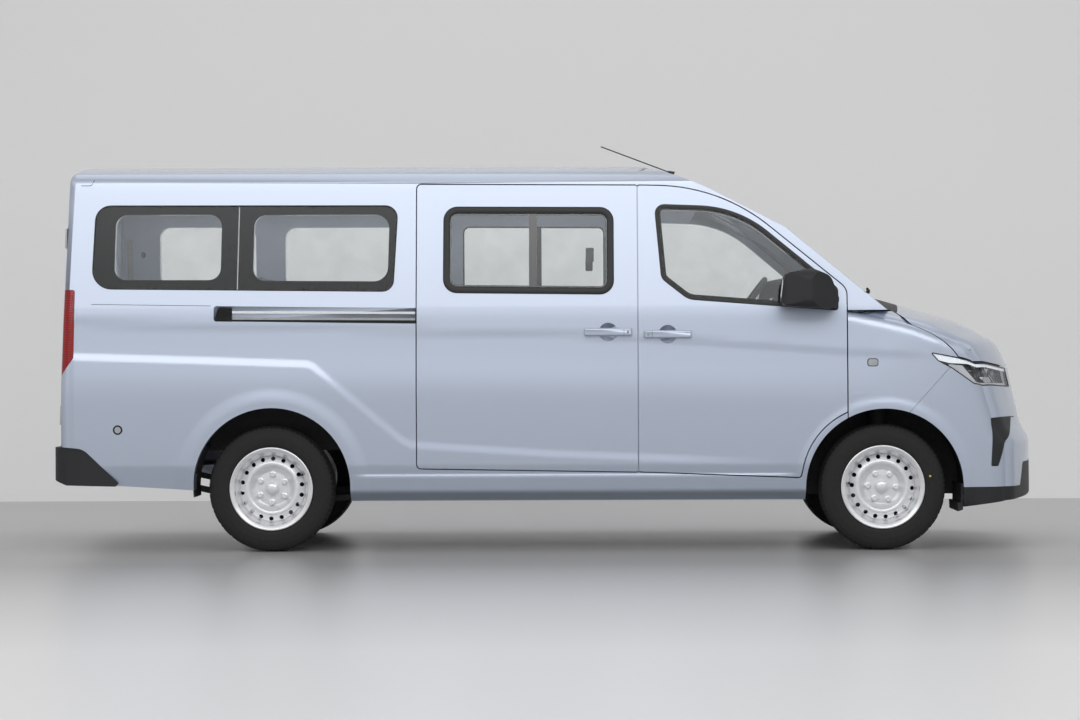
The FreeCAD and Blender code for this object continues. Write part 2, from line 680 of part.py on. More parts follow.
# Wheels.
# Profiles in (outward from the wheel's middle plane, radius).
rim_profile = [
    (93, 203), (91, 209), (86, 209), (82, 203), (80, 188.5), (60, 186), (48, 176), (20, 168), (-25, 168),
    (-45, 183), (-60, 186), (-78, 188.5), (-80, 203), (-85, 209), (-90, 209), (-91, 203), (-86, 184),
    (-60, 180), (-48, 177), (-28, 162), (22, 162), (50, 171), (66, 181), (84, 184),
]
disc_profile = [
    (22, 27.5), (22, 62), (20, 86), (30, 100), (46, 115), (47, 130), (36, 150), (22, 163), (15, 163),
    (30, 147), (41, 128), (40, 118), (25, 104), (14, 90), (16, 62), (-24, 50), (-24, 27.5),
]
cap_profile = [(14, 0), (56, 0), (54, 18), (46, 29), (22, 32), (16, 32), (14, 27.5)]
tyre_half = [
    (60, 186.4, 0), (77.6, 188.8, 0), (78.9, 206, 2), (92, 214, 10), (97, 262, 60), (80, 308, 16),
    (52, 314, 120),
]
tyre_inside = [(56, 298, 20), (70, 240, 20)]
tyre_outline = tyre_half + [(-a, r, c) for a, r, c in tyre_half[::-1]]
tyre_profile = tyre_outline + [(-a, r, c) for a, r, c in tyre_inside[::-1]] + tyre_inside
vent_count, vent_radius, vent_circle = 18, 10.5, 151.0


def spun(points, x, y, z, side):
    """A profile in (outward, radius) turned about a wheel's axis."""
    face = face_of(points, lambda a, r: Vector(x, y + side * a, z + r))
    return face.revolve(Vector(x, y, z), Vector(0, 1, 0), 360)


for x, end in ((front_axle_x, "front"), (rear_axle_x, "rear")):
    for side, name in ((1, "left"), (-1, "right")):
        y = side * wheel_y
        profiles = (rim_profile, disc_profile, cap_profile)
        rim = joined([spun(plain(profile), x, y, axle_z, side) for profile in profiles])
        for i in range(vent_count):
            turn = 2 * math.pi * (i + 0.5) / vent_count
            vent_x, vent_z = x + vent_circle * math.sin(turn), axle_z + vent_circle * math.cos(turn)
            rim = rim.cut(rod((vent_x, y, vent_z), (vent_x, y + side * 60, vent_z), vent_radius))
        save("wheel_%s_%s" % (end, name), rim)
        save("tyre_%s_%s" % (end, name), spun(tyre_profile, x, y, axle_z, side))

# Power unit and battery.
save("battery_pack", box(-610, 1100, -560, 560, 244, floor_bottom))
save("drive_unit", box(1700, 2150, -300, 300, 420, 820))

# Sliding door rail.
rail = box(-1662, -668, -879, -rail_floor_y, 1152, 1212).common(prism_y(offset(rail_groove, 1), -1000, 0))
save("sliding_rail", rail.cut(box(-1600, -600, -900, -873, 1172, 1190)))

# Mirrors.
mirror_side = [
    (1140, 1216, 30), (1404, 1200, 40), (1434, 1240, 40), (1385, 1362, 60), (1290, 1400, 60),
    (1158, 1374, 40),
]
mirror_plan = [(1130, 905, 20), (1130, 1080, 50), (1290, 1100, 60), (1440, 1000, 60), (1440, 905, 30)]
mirror_front = [(905, 1195, 30), (1096, 1205, 50), (1096, 1400, 60), (905, 1400, 40)]
head = prism_y(mirror_side, 880, 1120).common(prism_z(mirror_plan, 1100, 1500))
head = head.common(prism_x(mirror_front, 1000, 1500))
arm = prism_z([(1325, 840, 0), (1430, 840, 0), (1410, 960, 10), (1330, 960, 10)], 1206, 1238)
mirror = joined([head, arm])
for side, name in ((1, "left"), (-1, "right")):
    shape = mirror if side > 0 else mirrored(mirror)
    save("mirror_" + name, biggest(shape.cut(front_doors[name]).cut(front_panes[name])))

# Dashboard and steering wheel.
dash = prism_y([
    (1180, 900, 60), (1468, 900, 0), (1468, 1180, 0), (1330, 1190, 60), (1190, 1100, 80),
], -825, 825)
hub = Vector(1041, 380, 1232)
column_direction = Vector(-0.81, 0, 0.585)
ring = Part.makeTorus(180, 14, hub, column_direction)
foot = hub - column_direction * 190
column = Part.makeCylinder(32, 190, foot, column_direction)
spokes = box(-12, 12, -172, 172, -7, 7).fuse(box(-172, 0, -12, 12, -7, 7))
spokes = spokes.transformed(
    FreeCAD.Placement(hub, FreeCAD.Rotation(Vector(0, 0, 1), column_direction)).toMatrix())
steering = joined([ring, column, spokes])
save("steering_wheel", steering)
save("dashboard", biggest(dash.cut(steering)))


# Seats.
# One row each: (rear foot x, cushion depth, height of the floor, top of the back, [(y0, y1), ...])
cushion_height, cushion_thick, back_thick, back_lean = 330.0, 130.0, 95.0, 0.20
nose_rise, back_gap = 15.0, 8.0        # a cushion's front edge above its rear, and the gap ahead of its back
seat_rows = [
    (470, 470, floor_top, 1262, [(230, 720), (-720, 130)]),
    (-360, 450, floor_top, 1395, [(-690, 690)]),
    (-1330, 450, rear_floor_top, 1405, [(-560, 560)]),
]
frames, cushions = [], []
for x, depth, base, top, places in seat_rows:
    low = base + cushion_height - cushion_thick
    high = base + cushion_height
    for y0, y1 in places:
        cushions.append(prism_y([
            (x, low, 20), (x + depth, low, 30), (x + depth, high + nose_rise, 50), (x, high, 30),
        ], y0, y1))
        foot_x = x - back_gap
        lean = (top - low) * back_lean
        cushions.append(prism_y([
            (foot_x - back_thick, low, 20), (foot_x, low, 20), (foot_x - lean, top, 40),
            (foot_x - lean - back_thick, top, 40),
        ], y0, y1))
        for y in (y0 + 60, y1 - 90):
            frames.append(box(x - 90, x + depth - 60, y, y + 30, base, low))
save("seats", *cushions)
save("seat_frames", *frames)


# Wipers and antenna.
def on_screen(y, height, out):
    """A point off the windscreen's surface, by out along its normal, at y and a height along its slope."""
    (x0, z0, _), (x1, z1, _) = screen_line[2:4]
    slope = (x1 - x0) / (z1 - z0)
    radius = x0 + (height - z0) * slope - screen_axis_x
    normal_x, normal_z = unit(1.0, -slope)
    reach = math.sqrt(radius ** 2 - y ** 2)
    share = out * normal_x / radius
    return Vector(screen_axis_x + reach * (1 + share), y * (1 + share), height + out * normal_z)


wipers = []
blade_rise = 32.0                  # a blade's middle above the cowl, up the screen
for pivot_y, tip_y, elbow_y in ((640, 60, 330), (-20, -600, -310)):
    low = 1262 + blade_rise
    far_y = elbow_y + (elbow_y - tip_y) * 0.8
    wipers.append(joined([
        rod(on_screen(tip_y, low, 14), on_screen(elbow_y, low - 4, 14), 7),
        rod(on_screen(elbow_y, low - 4, 14), on_screen(far_y, low - 8, 14), 7),
        rod(on_screen(elbow_y, low - 4, 16), on_screen(pivot_y, low - 14, 26), 8),
    ]))
save("wipers", *wipers)
antenna_foot, antenna_tip = Vector(640, -300, 1908), Vector(263, -300, 2051)
antenna_base = Part.makeCone(13, 6, 34, antenna_foot, antenna_tip - antenna_foot)
antenna = joined([rod(antenna_foot, antenna_tip, 3.0), antenna_base])
save("antenna", biggest(antenna.cut(roof)))
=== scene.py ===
import json
import math
import time

import bmesh
import bpy
import numpy as np
from mathutils import Matrix, Vector
from mathutils.geometry import delaunay_2d_cdt

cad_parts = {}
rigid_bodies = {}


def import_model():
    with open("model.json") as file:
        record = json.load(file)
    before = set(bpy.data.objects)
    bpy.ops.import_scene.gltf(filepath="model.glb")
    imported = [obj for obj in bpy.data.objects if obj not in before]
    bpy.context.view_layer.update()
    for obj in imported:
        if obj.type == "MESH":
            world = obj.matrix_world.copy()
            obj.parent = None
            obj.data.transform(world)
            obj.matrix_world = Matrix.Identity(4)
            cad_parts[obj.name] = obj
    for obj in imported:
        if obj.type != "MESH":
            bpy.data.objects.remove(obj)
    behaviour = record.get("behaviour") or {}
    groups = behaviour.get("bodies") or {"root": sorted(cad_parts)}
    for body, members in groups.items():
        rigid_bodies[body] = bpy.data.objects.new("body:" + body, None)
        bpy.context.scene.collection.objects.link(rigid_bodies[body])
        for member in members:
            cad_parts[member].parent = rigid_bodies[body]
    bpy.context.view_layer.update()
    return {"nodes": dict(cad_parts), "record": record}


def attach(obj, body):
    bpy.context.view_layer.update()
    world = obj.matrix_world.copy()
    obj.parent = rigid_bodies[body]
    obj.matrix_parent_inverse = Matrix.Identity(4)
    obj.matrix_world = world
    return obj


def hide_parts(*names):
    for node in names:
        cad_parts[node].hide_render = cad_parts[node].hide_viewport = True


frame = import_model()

startedAt = time.time()
nodes = frame["nodes"]


def stage(text):
    print("[scene %5.1f s] %s" % (time.time() - startedAt, text))


# Materials: every finish is a node tree whose colour, roughness or relief varies with the piece's own coordinates.
def newMaterial(name):
    material = bpy.data.materials.new(name)
    material.use_nodes = True
    tree = material.node_tree
    return material, tree, tree.nodes["Principled BSDF"]


def objectCoordinates(tree):
    return tree.nodes.new("ShaderNodeTexCoord").outputs["Object"]


def noise(tree, scale, detail=3.0, roughness=0.5, vector=None):
    node = tree.nodes.new("ShaderNodeTexNoise")
    node.inputs["Scale"].default_value = scale
    node.inputs["Detail"].default_value = detail
    node.inputs["Roughness"].default_value = roughness
    tree.links.new(vector or objectCoordinates(tree), node.inputs["Vector"])
    return node.outputs["Fac"]


def ramp(tree, value, stops):
    node = tree.nodes.new("ShaderNodeValToRGB")
    elements = node.color_ramp.elements
    while len(elements) < len(stops):
        elements.new(0.5)
    for element, (place, colour) in zip(elements, stops):
        element.position = place
        element.color = (*colour, 1.0)
    tree.links.new(value, node.inputs["Fac"])
    return node.outputs["Color"]


def bump(tree, shader, height, strength, distance=0.001):
    node = tree.nodes.new("ShaderNodeBump")
    node.inputs["Strength"].default_value = strength
    node.inputs["Distance"].default_value = distance
    tree.links.new(height, node.inputs["Height"])
    tree.links.new(node.outputs["Normal"], shader.inputs["Normal"])


def shades(colour, spread):
    return tuple(c * (1 - spread) for c in colour), tuple(min(1.0, c * (1 + spread)) for c in colour)


def speckled(name, colour, spread, scale, roughness, metallic=0.0, bumpStrength=0.0, bumpScale=None, coat=0.0):
    material, tree, shader = newMaterial(name)
    dark, light = shades(colour, spread)
    tree.links.new(ramp(tree, noise(tree, scale), [(0.3, dark), (0.7, light)]), shader.inputs["Base Color"])
    shader.inputs["Roughness"].default_value = roughness
    shader.inputs["Metallic"].default_value = metallic
    shader.inputs["Coat Weight"].default_value = coat
    shader.inputs["Coat Roughness"].default_value = 0.04
    if bumpStrength:
        bump(tree, shader, noise(tree, bumpScale or scale * 4), bumpStrength)
    return material


def glassMaterial(name, tint, opacity, strength=1.0):
    # Clear sheet: a see-through layer with a mirror over it whose share grows towards grazing angles.
    material, tree, shader = newMaterial(name)
    dark, light = shades(tint, 0.02)
    clear = tree.nodes.new("ShaderNodeBsdfTransparent")
    tree.links.new(ramp(tree, noise(tree, 6.0), [(0.3, dark), (0.7, light)]), clear.inputs["Color"])
    shader.inputs["Base Color"].default_value = (0.9, 0.92, 0.93, 1.0)
    shader.inputs["Metallic"].default_value = 1.0
    shader.inputs["Roughness"].default_value = 0.03
    facing = tree.nodes.new("ShaderNodeFresnel")
    facing.inputs["IOR"].default_value = 1.45
    share = tree.nodes.new("ShaderNodeMath")
    share.operation = "MULTIPLY_ADD"
    share.inputs[1].default_value = strength
    share.inputs[2].default_value = opacity
    tree.links.new(facing.outputs["Fac"], share.inputs[0])
    mixed = tree.nodes.new("ShaderNodeMixShader")
    tree.links.new(share.outputs["Value"], mixed.inputs["Fac"])
    tree.links.new(clear.outputs["BSDF"], mixed.inputs[1])
    tree.links.new(shader.outputs["BSDF"], mixed.inputs[2])
    output = next(node for node in tree.nodes if node.type == "OUTPUT_MATERIAL")
    tree.links.new(mixed.outputs["Shader"], output.inputs["Surface"])
    return material


def glowing(name, colour, strength):
    material, tree, shader = newMaterial(name)
    dark, light = shades(colour, 0.04)
    tree.links.new(ramp(tree, noise(tree, 50), [(0.3, dark), (0.7, light)]), shader.inputs["Base Color"])
    tree.links.new(ramp(tree, noise(tree, 50), [(0.3, dark), (0.7, light)]), shader.inputs["Emission Color"])
    shader.inputs["Emission Strength"].default_value = strength
    shader.inputs["Roughness"].default_value = 0.15
    return material


paint = speckled("body_paint", (0.525, 0.590, 0.715), 0.02, 900, 0.38, metallic=0.72, coat=0.8)
blackPlastic = speckled("black_plastic", (0.014, 0.015, 0.017), 0.25, 300, 0.55, bumpStrength=0.15, bumpScale=900)
glossBlack = speckled("gloss_black", (0.008, 0.008, 0.009), 0.2, 40, 0.08, coat=1.0)
fritBlack = speckled("frit_black", (0.006, 0.006, 0.006), 0.2, 300, 0.9)
fritBlack.node_tree.nodes["Principled BSDF"].inputs["Specular IOR Level"].default_value = 0.05
# Black for seams; it also colours the painted shade lines along the belt and pillar foot creases.
seamAndShadeBlack = speckled("seam_and_shade_black", (0.012, 0.013, 0.014), 0.2, 80, 0.7)
chassisBlack = speckled("chassis_black", (0.020, 0.020, 0.022), 0.3, 60, 0.62)
galvanised = speckled("galvanised_steel", (0.42, 0.43, 0.44), 0.12, 140, 0.38, metallic=0.85)
rubber = speckled("tyre_rubber", (0.011, 0.011, 0.012), 0.2, 80, 0.72, bumpStrength=0.1, bumpScale=600)
gasket = speckled("gasket_rubber", (0.012, 0.012, 0.013), 0.2, 120, 0.45)
wheelSilver = speckled("wheel_silver", (0.86, 0.87, 0.89), 0.03, 50, 0.34, metallic=0.50, coat=0.6)
trimDark = speckled("cabin_trim_dark", (0.040, 0.041, 0.045), 0.15, 120, 0.7, bumpStrength=0.1, bumpScale=700)
trimLight = speckled("cabin_trim_light", (0.72, 0.74, 0.77), 0.05, 120, 0.75, bumpStrength=0.1, bumpScale=700)
headliner = speckled("headliner", (0.50, 0.50, 0.50), 0.06, 500, 0.95, bumpStrength=0.2, bumpScale=1500)
railMetal = speckled("rail_metal", (0.62, 0.63, 0.64), 0.05, 90, 0.28, metallic=0.9)
chrome = speckled("chrome", (0.80, 0.81, 0.82), 0.03, 60, 0.12, metallic=1.0)
redLens = speckled("red_lens", (0.34, 0.005, 0.006), 0.08, 60, 0.30, coat=0.15)
darkRedLens = speckled("dark_red_lens", (0.040, 0.001, 0.001), 0.15, 60, 0.30, coat=0.15)
amberLens = speckled("amber_lens", (0.75, 0.25, 0.03), 0.08, 60, 0.10, coat=1.0)
greyLens = speckled("grey_lens", (0.42, 0.44, 0.46), 0.08, 60, 0.12, coat=1.0)
plateWhite = speckled("plate_blank", (0.70, 0.70, 0.69), 0.03, 40, 0.4)
mirrorSilver = speckled("mirror_silver", (0.85, 0.86, 0.87), 0.01, 10, 0.02, metallic=1.0)
yellowMark = speckled("yellow_mark", (0.75, 0.62, 0.05), 0.08, 300, 0.6)
glass = glassMaterial("safety_glass", (0.955, 0.965, 0.965), 0.0)
projectorGlass = speckled("projector_glass", (0.30, 0.33, 0.36), 0.1, 30, 0.05, metallic=0.3, coat=1.0)
brightTrim = speckled("bright_trim", (0.70, 0.72, 0.74), 0.04, 40, 0.25, metallic=0.5)
greyMetal = speckled("grey_metal", (0.34, 0.35, 0.36), 0.10, 60, 0.4, metallic=0.7)
threadGrey = speckled("seam_thread", (0.16, 0.16, 0.17), 0.2, 300, 0.9)
lampCover = glassMaterial("lamp_cover", (0.97, 0.97, 0.98), 0.01, 0.22)
lightStrip = glowing("light_strip", (0.86, 0.90, 0.95), 0.35)


def fabricMaterial(name, colour):
    material, tree, shader = newMaterial(name)
    coordinates = objectCoordinates(tree)
    weave = tree.nodes.new("ShaderNodeTexVoronoi")
    weave.inputs["Scale"].default_value = 420
    tree.links.new(coordinates, weave.inputs["Vector"])
    dark, light = shades(colour, 0.3)
    tree.links.new(ramp(tree, weave.outputs["Distance"], [(0.1, dark), (0.6, light)]), shader.inputs["Base Color"])
    shader.inputs["Roughness"].default_value = 0.92
    bump(tree, shader, weave.outputs["Distance"], 0.35)
    return material


def ribbedMaterial(name, colour, ribScale):
    material, tree, shader = newMaterial(name)
    ribs = tree.nodes.new("ShaderNodeTexWave")
    ribs.bands_direction = "Z"
    ribs.inputs["Scale"].default_value = ribScale
    ribs.inputs["Distortion"].default_value = 0.0
    tree.links.new(objectCoordinates(tree), ribs.inputs["Vector"])
    dark, light = shades(colour, 0.22)
    tree.links.new(ramp(tree, ribs.outputs["Fac"], [(0.2, dark), (0.8, light)]), shader.inputs["Base Color"])
    shader.inputs["Roughness"].default_value = 0.12
    shader.inputs["Coat Weight"].default_value = 0.15
    shader.inputs["Coat Roughness"].default_value = 0.03
    bump(tree, shader, ribs.outputs["Fac"], 0.4)
    return material


ribbedRed = ribbedMaterial("red_lens_ribbed", (0.30, 0.004, 0.005), 26)
seatFabric = fabricMaterial("seat_fabric", (0.034, 0.035, 0.040))

finishes = {
    "front_trim": blackPlastic, "rear_bumper": blackPlastic, "cowl": blackPlastic, "rear_hinges": galvanised,
    "front_door_glass_left": glass, "front_door_glass_right": glass, "fixed_glass": glass,
    "rear_door_glass_left": glass, "rear_door_glass_right": glass, "floor": chassisBlack,
    "rear_axle": chassisBlack, "front_suspension": chassisBlack, "knuckle_left": chassisBlack,
    "knuckle_right": chassisBlack, "battery_pack": chassisBlack, "drive_unit": chassisBlack,
    "mirror_left": blackPlastic, "mirror_right": blackPlastic, "sliding_rail": railMetal,
    "arch_liners": chassisBlack, "bulkhead": trimDark,
    "dashboard": trimDark, "steering_wheel": trimDark, "seats": seatFabric, "tail_lamps": redLens,
    "seat_frames": chassisBlack, "wipers": blackPlastic, "antenna": blackPlastic,
}


def setMaterial(obj, *materials):
    obj.data.materials.clear()
    for material in materials:
        obj.data.materials.append(material)


for name, node in nodes.items():
    if name.startswith("wheel_"):
        setMaterial(node, wheelSilver)
    elif name.startswith("tyre_"):
        setMaterial(node, rubber)
    else:
        setMaterial(node, finishes.get(name, paint))
stage("materials")


# Outlines: corners are (a, b, radius) in millimetres, paths are lists of 2-D vectors in metres.
def mm(corners):
    return [tuple(v / 1000 for v in corner) for corner in corners]


def cornerPath(corners, step=0.006, closed=True):
    points = []
    count = len(corners)
    for i, (a, b, radius) in enumerate(corners):
        here = Vector((a, b))
        if radius <= 0 or (not closed and i in (0, count - 1)):
            points.append(here)
            continue
        before = (Vector(corners[i - 1][:2]) - here).normalized()
        after = (Vector(corners[(i + 1) % count][:2]) - here).normalized()
        half = before.angle(after) / 2
        reach = radius / math.tan(half)
        centre = here + (before + after).normalized() * (radius / math.sin(half))
        startArm, endArm = here + before * reach - centre, here + after * reach - centre
        sweep = math.pi - 2 * half
        pieces = max(3, int(radius * sweep / step))
        for j in range(pieces + 1):
            share = j / pieces
            arm = startArm * math.sin((1 - share) * sweep) + endArm * math.sin(share * sweep)
            points.append(centre + arm / math.sin(sweep))
    return points


def filled(points, step, closed=True):
    result = []
    count = len(points)
    for i in range(count if closed else count - 1):
        a, b = points[i], points[(i + 1) % count]
        pieces = max(1, int((b - a).length / step))
        result += [a.lerp(b, j / pieces) for j in range(pieces)]
    return result if closed else result + [points[-1]]


def area2(points):
    return sum(a.x * b.y - b.x * a.y for a, b in zip(points, points[1:] + points[:1])) / 2


def inset(points, distance):
    # A closed path moved inwards, or outwards where distance is below 0.
    turn = 1 if area2(points) > 0 else -1
    result = []
    count = len(points)
    for i, here in enumerate(points):
        ahead = points[(i + 1) % count] - here
        behind = here - points[i - 1]
        ahead, behind = ahead.normalized(), behind.normalized()
        normal = Vector((-(ahead.y + behind.y), ahead.x + behind.x)).normalized()
        stretch = max(0.5, normal.dot(Vector((-ahead.y, ahead.x))))
        result.append(here + normal * (turn * distance / stretch))
    return result


def ellipse(a, b, radiusA, radiusB=None, count=32):
    radiusB = radiusB or radiusA
    turns = [2 * math.pi * i / count for i in range(count)]
    return [Vector((a + radiusA * math.cos(t), b + radiusB * math.sin(t))) for t in turns]


# The body's side and nose as formulas, for laying relief and details on the panels.
sectionCorners = mm([
    (795, 252, 0), (858, 300, 25), (884, 430, 120), (903, 820, 1500), (880, 1180, 900), (774, 1892, 75),
    (0, 2014.3, 4356),
])
sectionPath = cornerPath(sectionCorners, closed=False)
sectionZ = np.array([p.y for p in sectionPath])
sectionY = np.array([p.x for p in sectionPath])
lowNosePath = cornerPath(mm([
    (795, 150, 0), (870, 230, 40), (884, 430, 120), (903, 820, 1500), (880, 1180, 0),
]), closed=False)
lowNoseZ = np.array([p.y for p in lowNosePath])
lowNoseY = np.array([p.x for p in lowNosePath])
planPath = cornerPath(mm([(1300, 905, 0), (1935, 905, 2200), (2600, 739, 0)]), closed=False)
planX = np.array([p.x for p in planPath])
planY = np.array([p.y for p in planPath])
nosePath = cornerPath(mm([
    (1400, 1330, 0), (1700, 1262, 900), (2120, 1140, 600), (2318, 1030, 140), (2376, 905, 200), (2440, 620, 60),
    (2484, 540, 80), (2486, 330, 0), (2486, -200, 0),
]), closed=False)
noseAxis = 0.694
wingStart = 1.482


def smoothStep(low, high, value):
    share = np.clip((value - low) / (high - low), 0, 1)
    return share * share * (3 - 2 * share)


def baseY(x, z):
    side = np.interp(z, sectionZ, sectionY)
    lowSide = np.interp(z, lowNoseZ, lowNoseY)
    side = np.where((x > wingStart) & (z < 0.43), lowSide, side)
    return side, np.interp(x, planX, planY, left=2.0)


def skinY(x, z):
    side, plan = baseY(x, z)
    blend = 0.0001 + 0.034 * smoothStep(1.50, 1.85, x)
    share = np.clip(0.5 + 0.5 * (side - plan) / blend, 0, 1)
    return side * (1 - share) + plan * share - blend * share * (1 - share) * 0.5


swage = cornerPath(mm([
    (-2700, 1014, 0), (-1736, 983, 0), (-1180, 962, 110), (-700, 560, 130), (0, 514, 0), (447, 495, 0),
    (1400, 457, 0),
]), closed=False)
shoulder = cornerPath(mm([
    (-2700, 1180, 0), (-668, 1126, 0), (152, 1097, 0), (748, 1063, 0), (1478, 1012, 0), (2000, 985, 0),
]), closed=False)


def lineDistance(x, z, path):
    # Distance from a path, above 0 on its upper side.
    nearest = np.full(len(x), 9.0)
    for a, b in zip(path[:-1], path[1:]):
        run = b - a
        along = np.clip(((x - a.x) * run.x + (z - a.y) * run.y) / run.length_squared, 0, 1)
        nearest = np.minimum(nearest, np.hypot(x - a.x - along * run.x, z - a.y - along * run.y))
    above = z > np.interp(x, [p.x for p in path], [p.y for p in path])
    return np.where(above, nearest, -nearest)


arches = ((1.663, 0.315, 0.391, 0.065, 0.006), (-1.385, 0.329, 0.391, 0.105, 0.008))    # x, z, radius, width, rise
swageRise, swageWidth = 0.0055, 0.050
foldDepth, sillRise = 0.004, 0.006


def relief(x, z):
    # How far the panels stand out from the plain section: swage, shoulder fold, arch flares and sill.
    fromSwage = lineDistance(x, z, swage)
    swageFade = smoothStep(-2.40, -2.36, x) * (1 - smoothStep(0.5, 1.25, x))
    height = swageRise * (1 - smoothStep(-swageWidth, 0.000, fromSwage)) * swageFade
    fromShoulder = lineDistance(x, z, shoulder)
    foldFade = smoothStep(-2.40, -2.36, x) * (1 - smoothStep(1.70, 2.0, x))
    fold = smoothStep(0.0, 0.05, -fromShoulder) * (1 - smoothStep(0.10, 0.32, -fromShoulder))
    height -= foldDepth * fold * foldFade
    for archX, archZ, radius, width, rise in arches:
        distance = np.hypot(x - archX, z - archZ) - radius
        height += rise * (1 - smoothStep(width * 0.25, width, distance)) * smoothStep(0.22, 0.28, z)
    sill = smoothStep(-1.0, -0.9, x) * (1 - smoothStep(1.15, 1.25, x))
    height += sillRise * sill * (1 - smoothStep(0.372, 0.392, z)) * smoothStep(0.262, 0.30, z)
    return height


noseR = np.array([p.x - noseAxis for p in nosePath])
noseZ = np.array([p.y for p in nosePath])


def noseDistance(x, y, z):
    # Depth behind the nose's turned surface, and that surface's normal.
    reach = np.hypot(x - noseAxis, y)
    nearest = np.full(len(x), 9.0)
    outR, outZ = np.zeros(len(x)), np.zeros(len(x))
    for r0, z0, r1, z1 in zip(noseR[:-1], noseZ[:-1], noseR[1:], noseZ[1:]):
        runR, runZ = r1 - r0, z1 - z0
        along = np.clip(((reach - r0) * runR + (z - z0) * runZ) / (runR ** 2 + runZ ** 2), 0, 1)
        gapR, gapZ = reach - r0 - along * runR, z - z0 - along * runZ
        distance = np.hypot(gapR, gapZ)
        closer = distance < nearest
        length = math.hypot(runR, runZ)
        nearest = np.where(closer, distance, nearest)
        outR = np.where(closer, -runZ / length, outR)
        outZ = np.where(closer, runR / length, outZ)
    normal = np.stack([outR * (x - noseAxis) / reach, outR * y / reach, outZ], 1)
    return nearest, normal


cornerRound = 0.075                # how wide the rounding between the nose and the sides is


def noseShift(points):
    # Moves points of the nose's pieces so that its corners are rounded and its arches flared.
    x, y, z = points[:, 0], points[:, 1], points[:, 2]
    sign = np.sign(y)
    side, plan = baseY(x, z)
    base = np.minimum(side, plan)
    fromSide = np.maximum(base - np.abs(y), 0)
    fromNose, noseNormal = noseDistance(x, y, z)
    share = np.clip(0.5 + 0.5 * (fromNose - fromSide) / cornerRound, 0, 1)
    amount = cornerRound / 4 * np.maximum(0, 1 - np.abs(fromNose - fromSide) / cornerRound) ** 2
    amount = amount * (np.maximum(fromNose, fromSide) < 0.2) / (share ** 2 + (1 - share) ** 2)
    sideNormal = np.stack([np.zeros(len(x)), sign, np.zeros(len(x))], 1)
    moved = points - (sideNormal * share[:, None] + noseNormal * (1 - share)[:, None]) * amount[:, None]
    weight = smoothStep(0.0, 0.10, fromNose) * (fromSide < 0.06)
    moved[:, 1] += sign * weight * (skinY(x, z) - base + relief(x, z))
    return moved


# Panels: copies of the CAD pieces, cut into a fine grid and laid on the formulas.
def meshPiece(name, mesh, materials, body="body", replaced=()):
    obj = bpy.data.objects.new(name, mesh)
    bpy.context.scene.collection.objects.link(obj)
    setMaterial(obj, *materials)
    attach(obj, body)
    if replaced:
        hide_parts(*replaced)
    return obj


def bodyOf(name):
    for body, members in frame["record"]["behaviour"]["bodies"].items():
        if name in members:
            return body
    return "body"


def merged(name):
    bm = bmesh.new()
    bm.from_mesh(nodes[name].data)
    bmesh.ops.remove_doubles(bm, verts=bm.verts, dist=0.00002)
    return bm


def coordinates(bm):
    return np.array([v.co[:] for v in bm.verts])


def place(bm, points):
    for vert, co in zip(bm.verts, points):
        vert.co = co


def unloaded(bm, name):
    mesh = bpy.data.meshes.new(name)
    bm.to_mesh(mesh)
    bm.free()
    return mesh


def shaded(mesh, sharpDegrees):
    mesh.polygons.foreach_set("use_smooth", [True] * len(mesh.polygons))
    mesh.set_sharp_from_angle(angle=math.radians(sharpDegrees))
    mesh.update()
    return mesh


def finished(bm, sharpDegrees):
    return shaded(unloaded(bm, "panel"), sharpDegrees)


def cutByPlanes(bm, geometry, axis, places):
    normal = [0, 0, 0]
    normal[axis] = 1
    for value in places:
        point = [0, 0, 0]
        point[axis] = value
        geometry = bmesh.ops.bisect_plane(bm, geom=geometry, plane_co=point, plane_no=normal, dist=0.00004)["geom"]
    return geometry


def steps(low, high, step):
    count = max(1, int(round((high - low) / step)))
    return [low + (high - low) * i / count for i in range(count + 1)]


skinReach = 0.0014                 # points nearer the formula than this lie on it
skinLow, skinHigh, skinFront = 0.2515, 1.84, 1.60


def tagSkin(bm, points):
    # Tags the points that lie on the side's formula.
    x, z = points[:, 0], points[:, 2]
    side, plan = baseY(x, z)
    near = np.abs(np.abs(points[:, 1]) - np.minimum(side, plan)) < skinReach
    near &= (z > skinLow) & (z < skinHigh) & (x < skinFront)
    for vert, flag in zip(bm.verts, near):
        vert.tag = bool(flag)
    return near


def skinFaces(bm):
    tagSkin(bm, coordinates(bm))
    return [f for f in bm.faces if all(v.tag for v in f.verts) and abs(f.normal.y) > 0.5]


trimDepth = 0.022                  # faces deeper than this behind the skin look into the cabin
edgeGap = 0.002                    # no cut runs closer than this to a panel's end


def markTrim(bm, material):
    # Faces that look into the cabin take the trim's material.
    for face in bm.faces:
        centre = face.calc_center_median()
        side, plan = baseY(np.array([centre.x]), np.array([centre.z]))
        if min(side[0], plan[0]) - abs(centre.y) > trimDepth and centre.x > -2.38:
            face.material_index = material


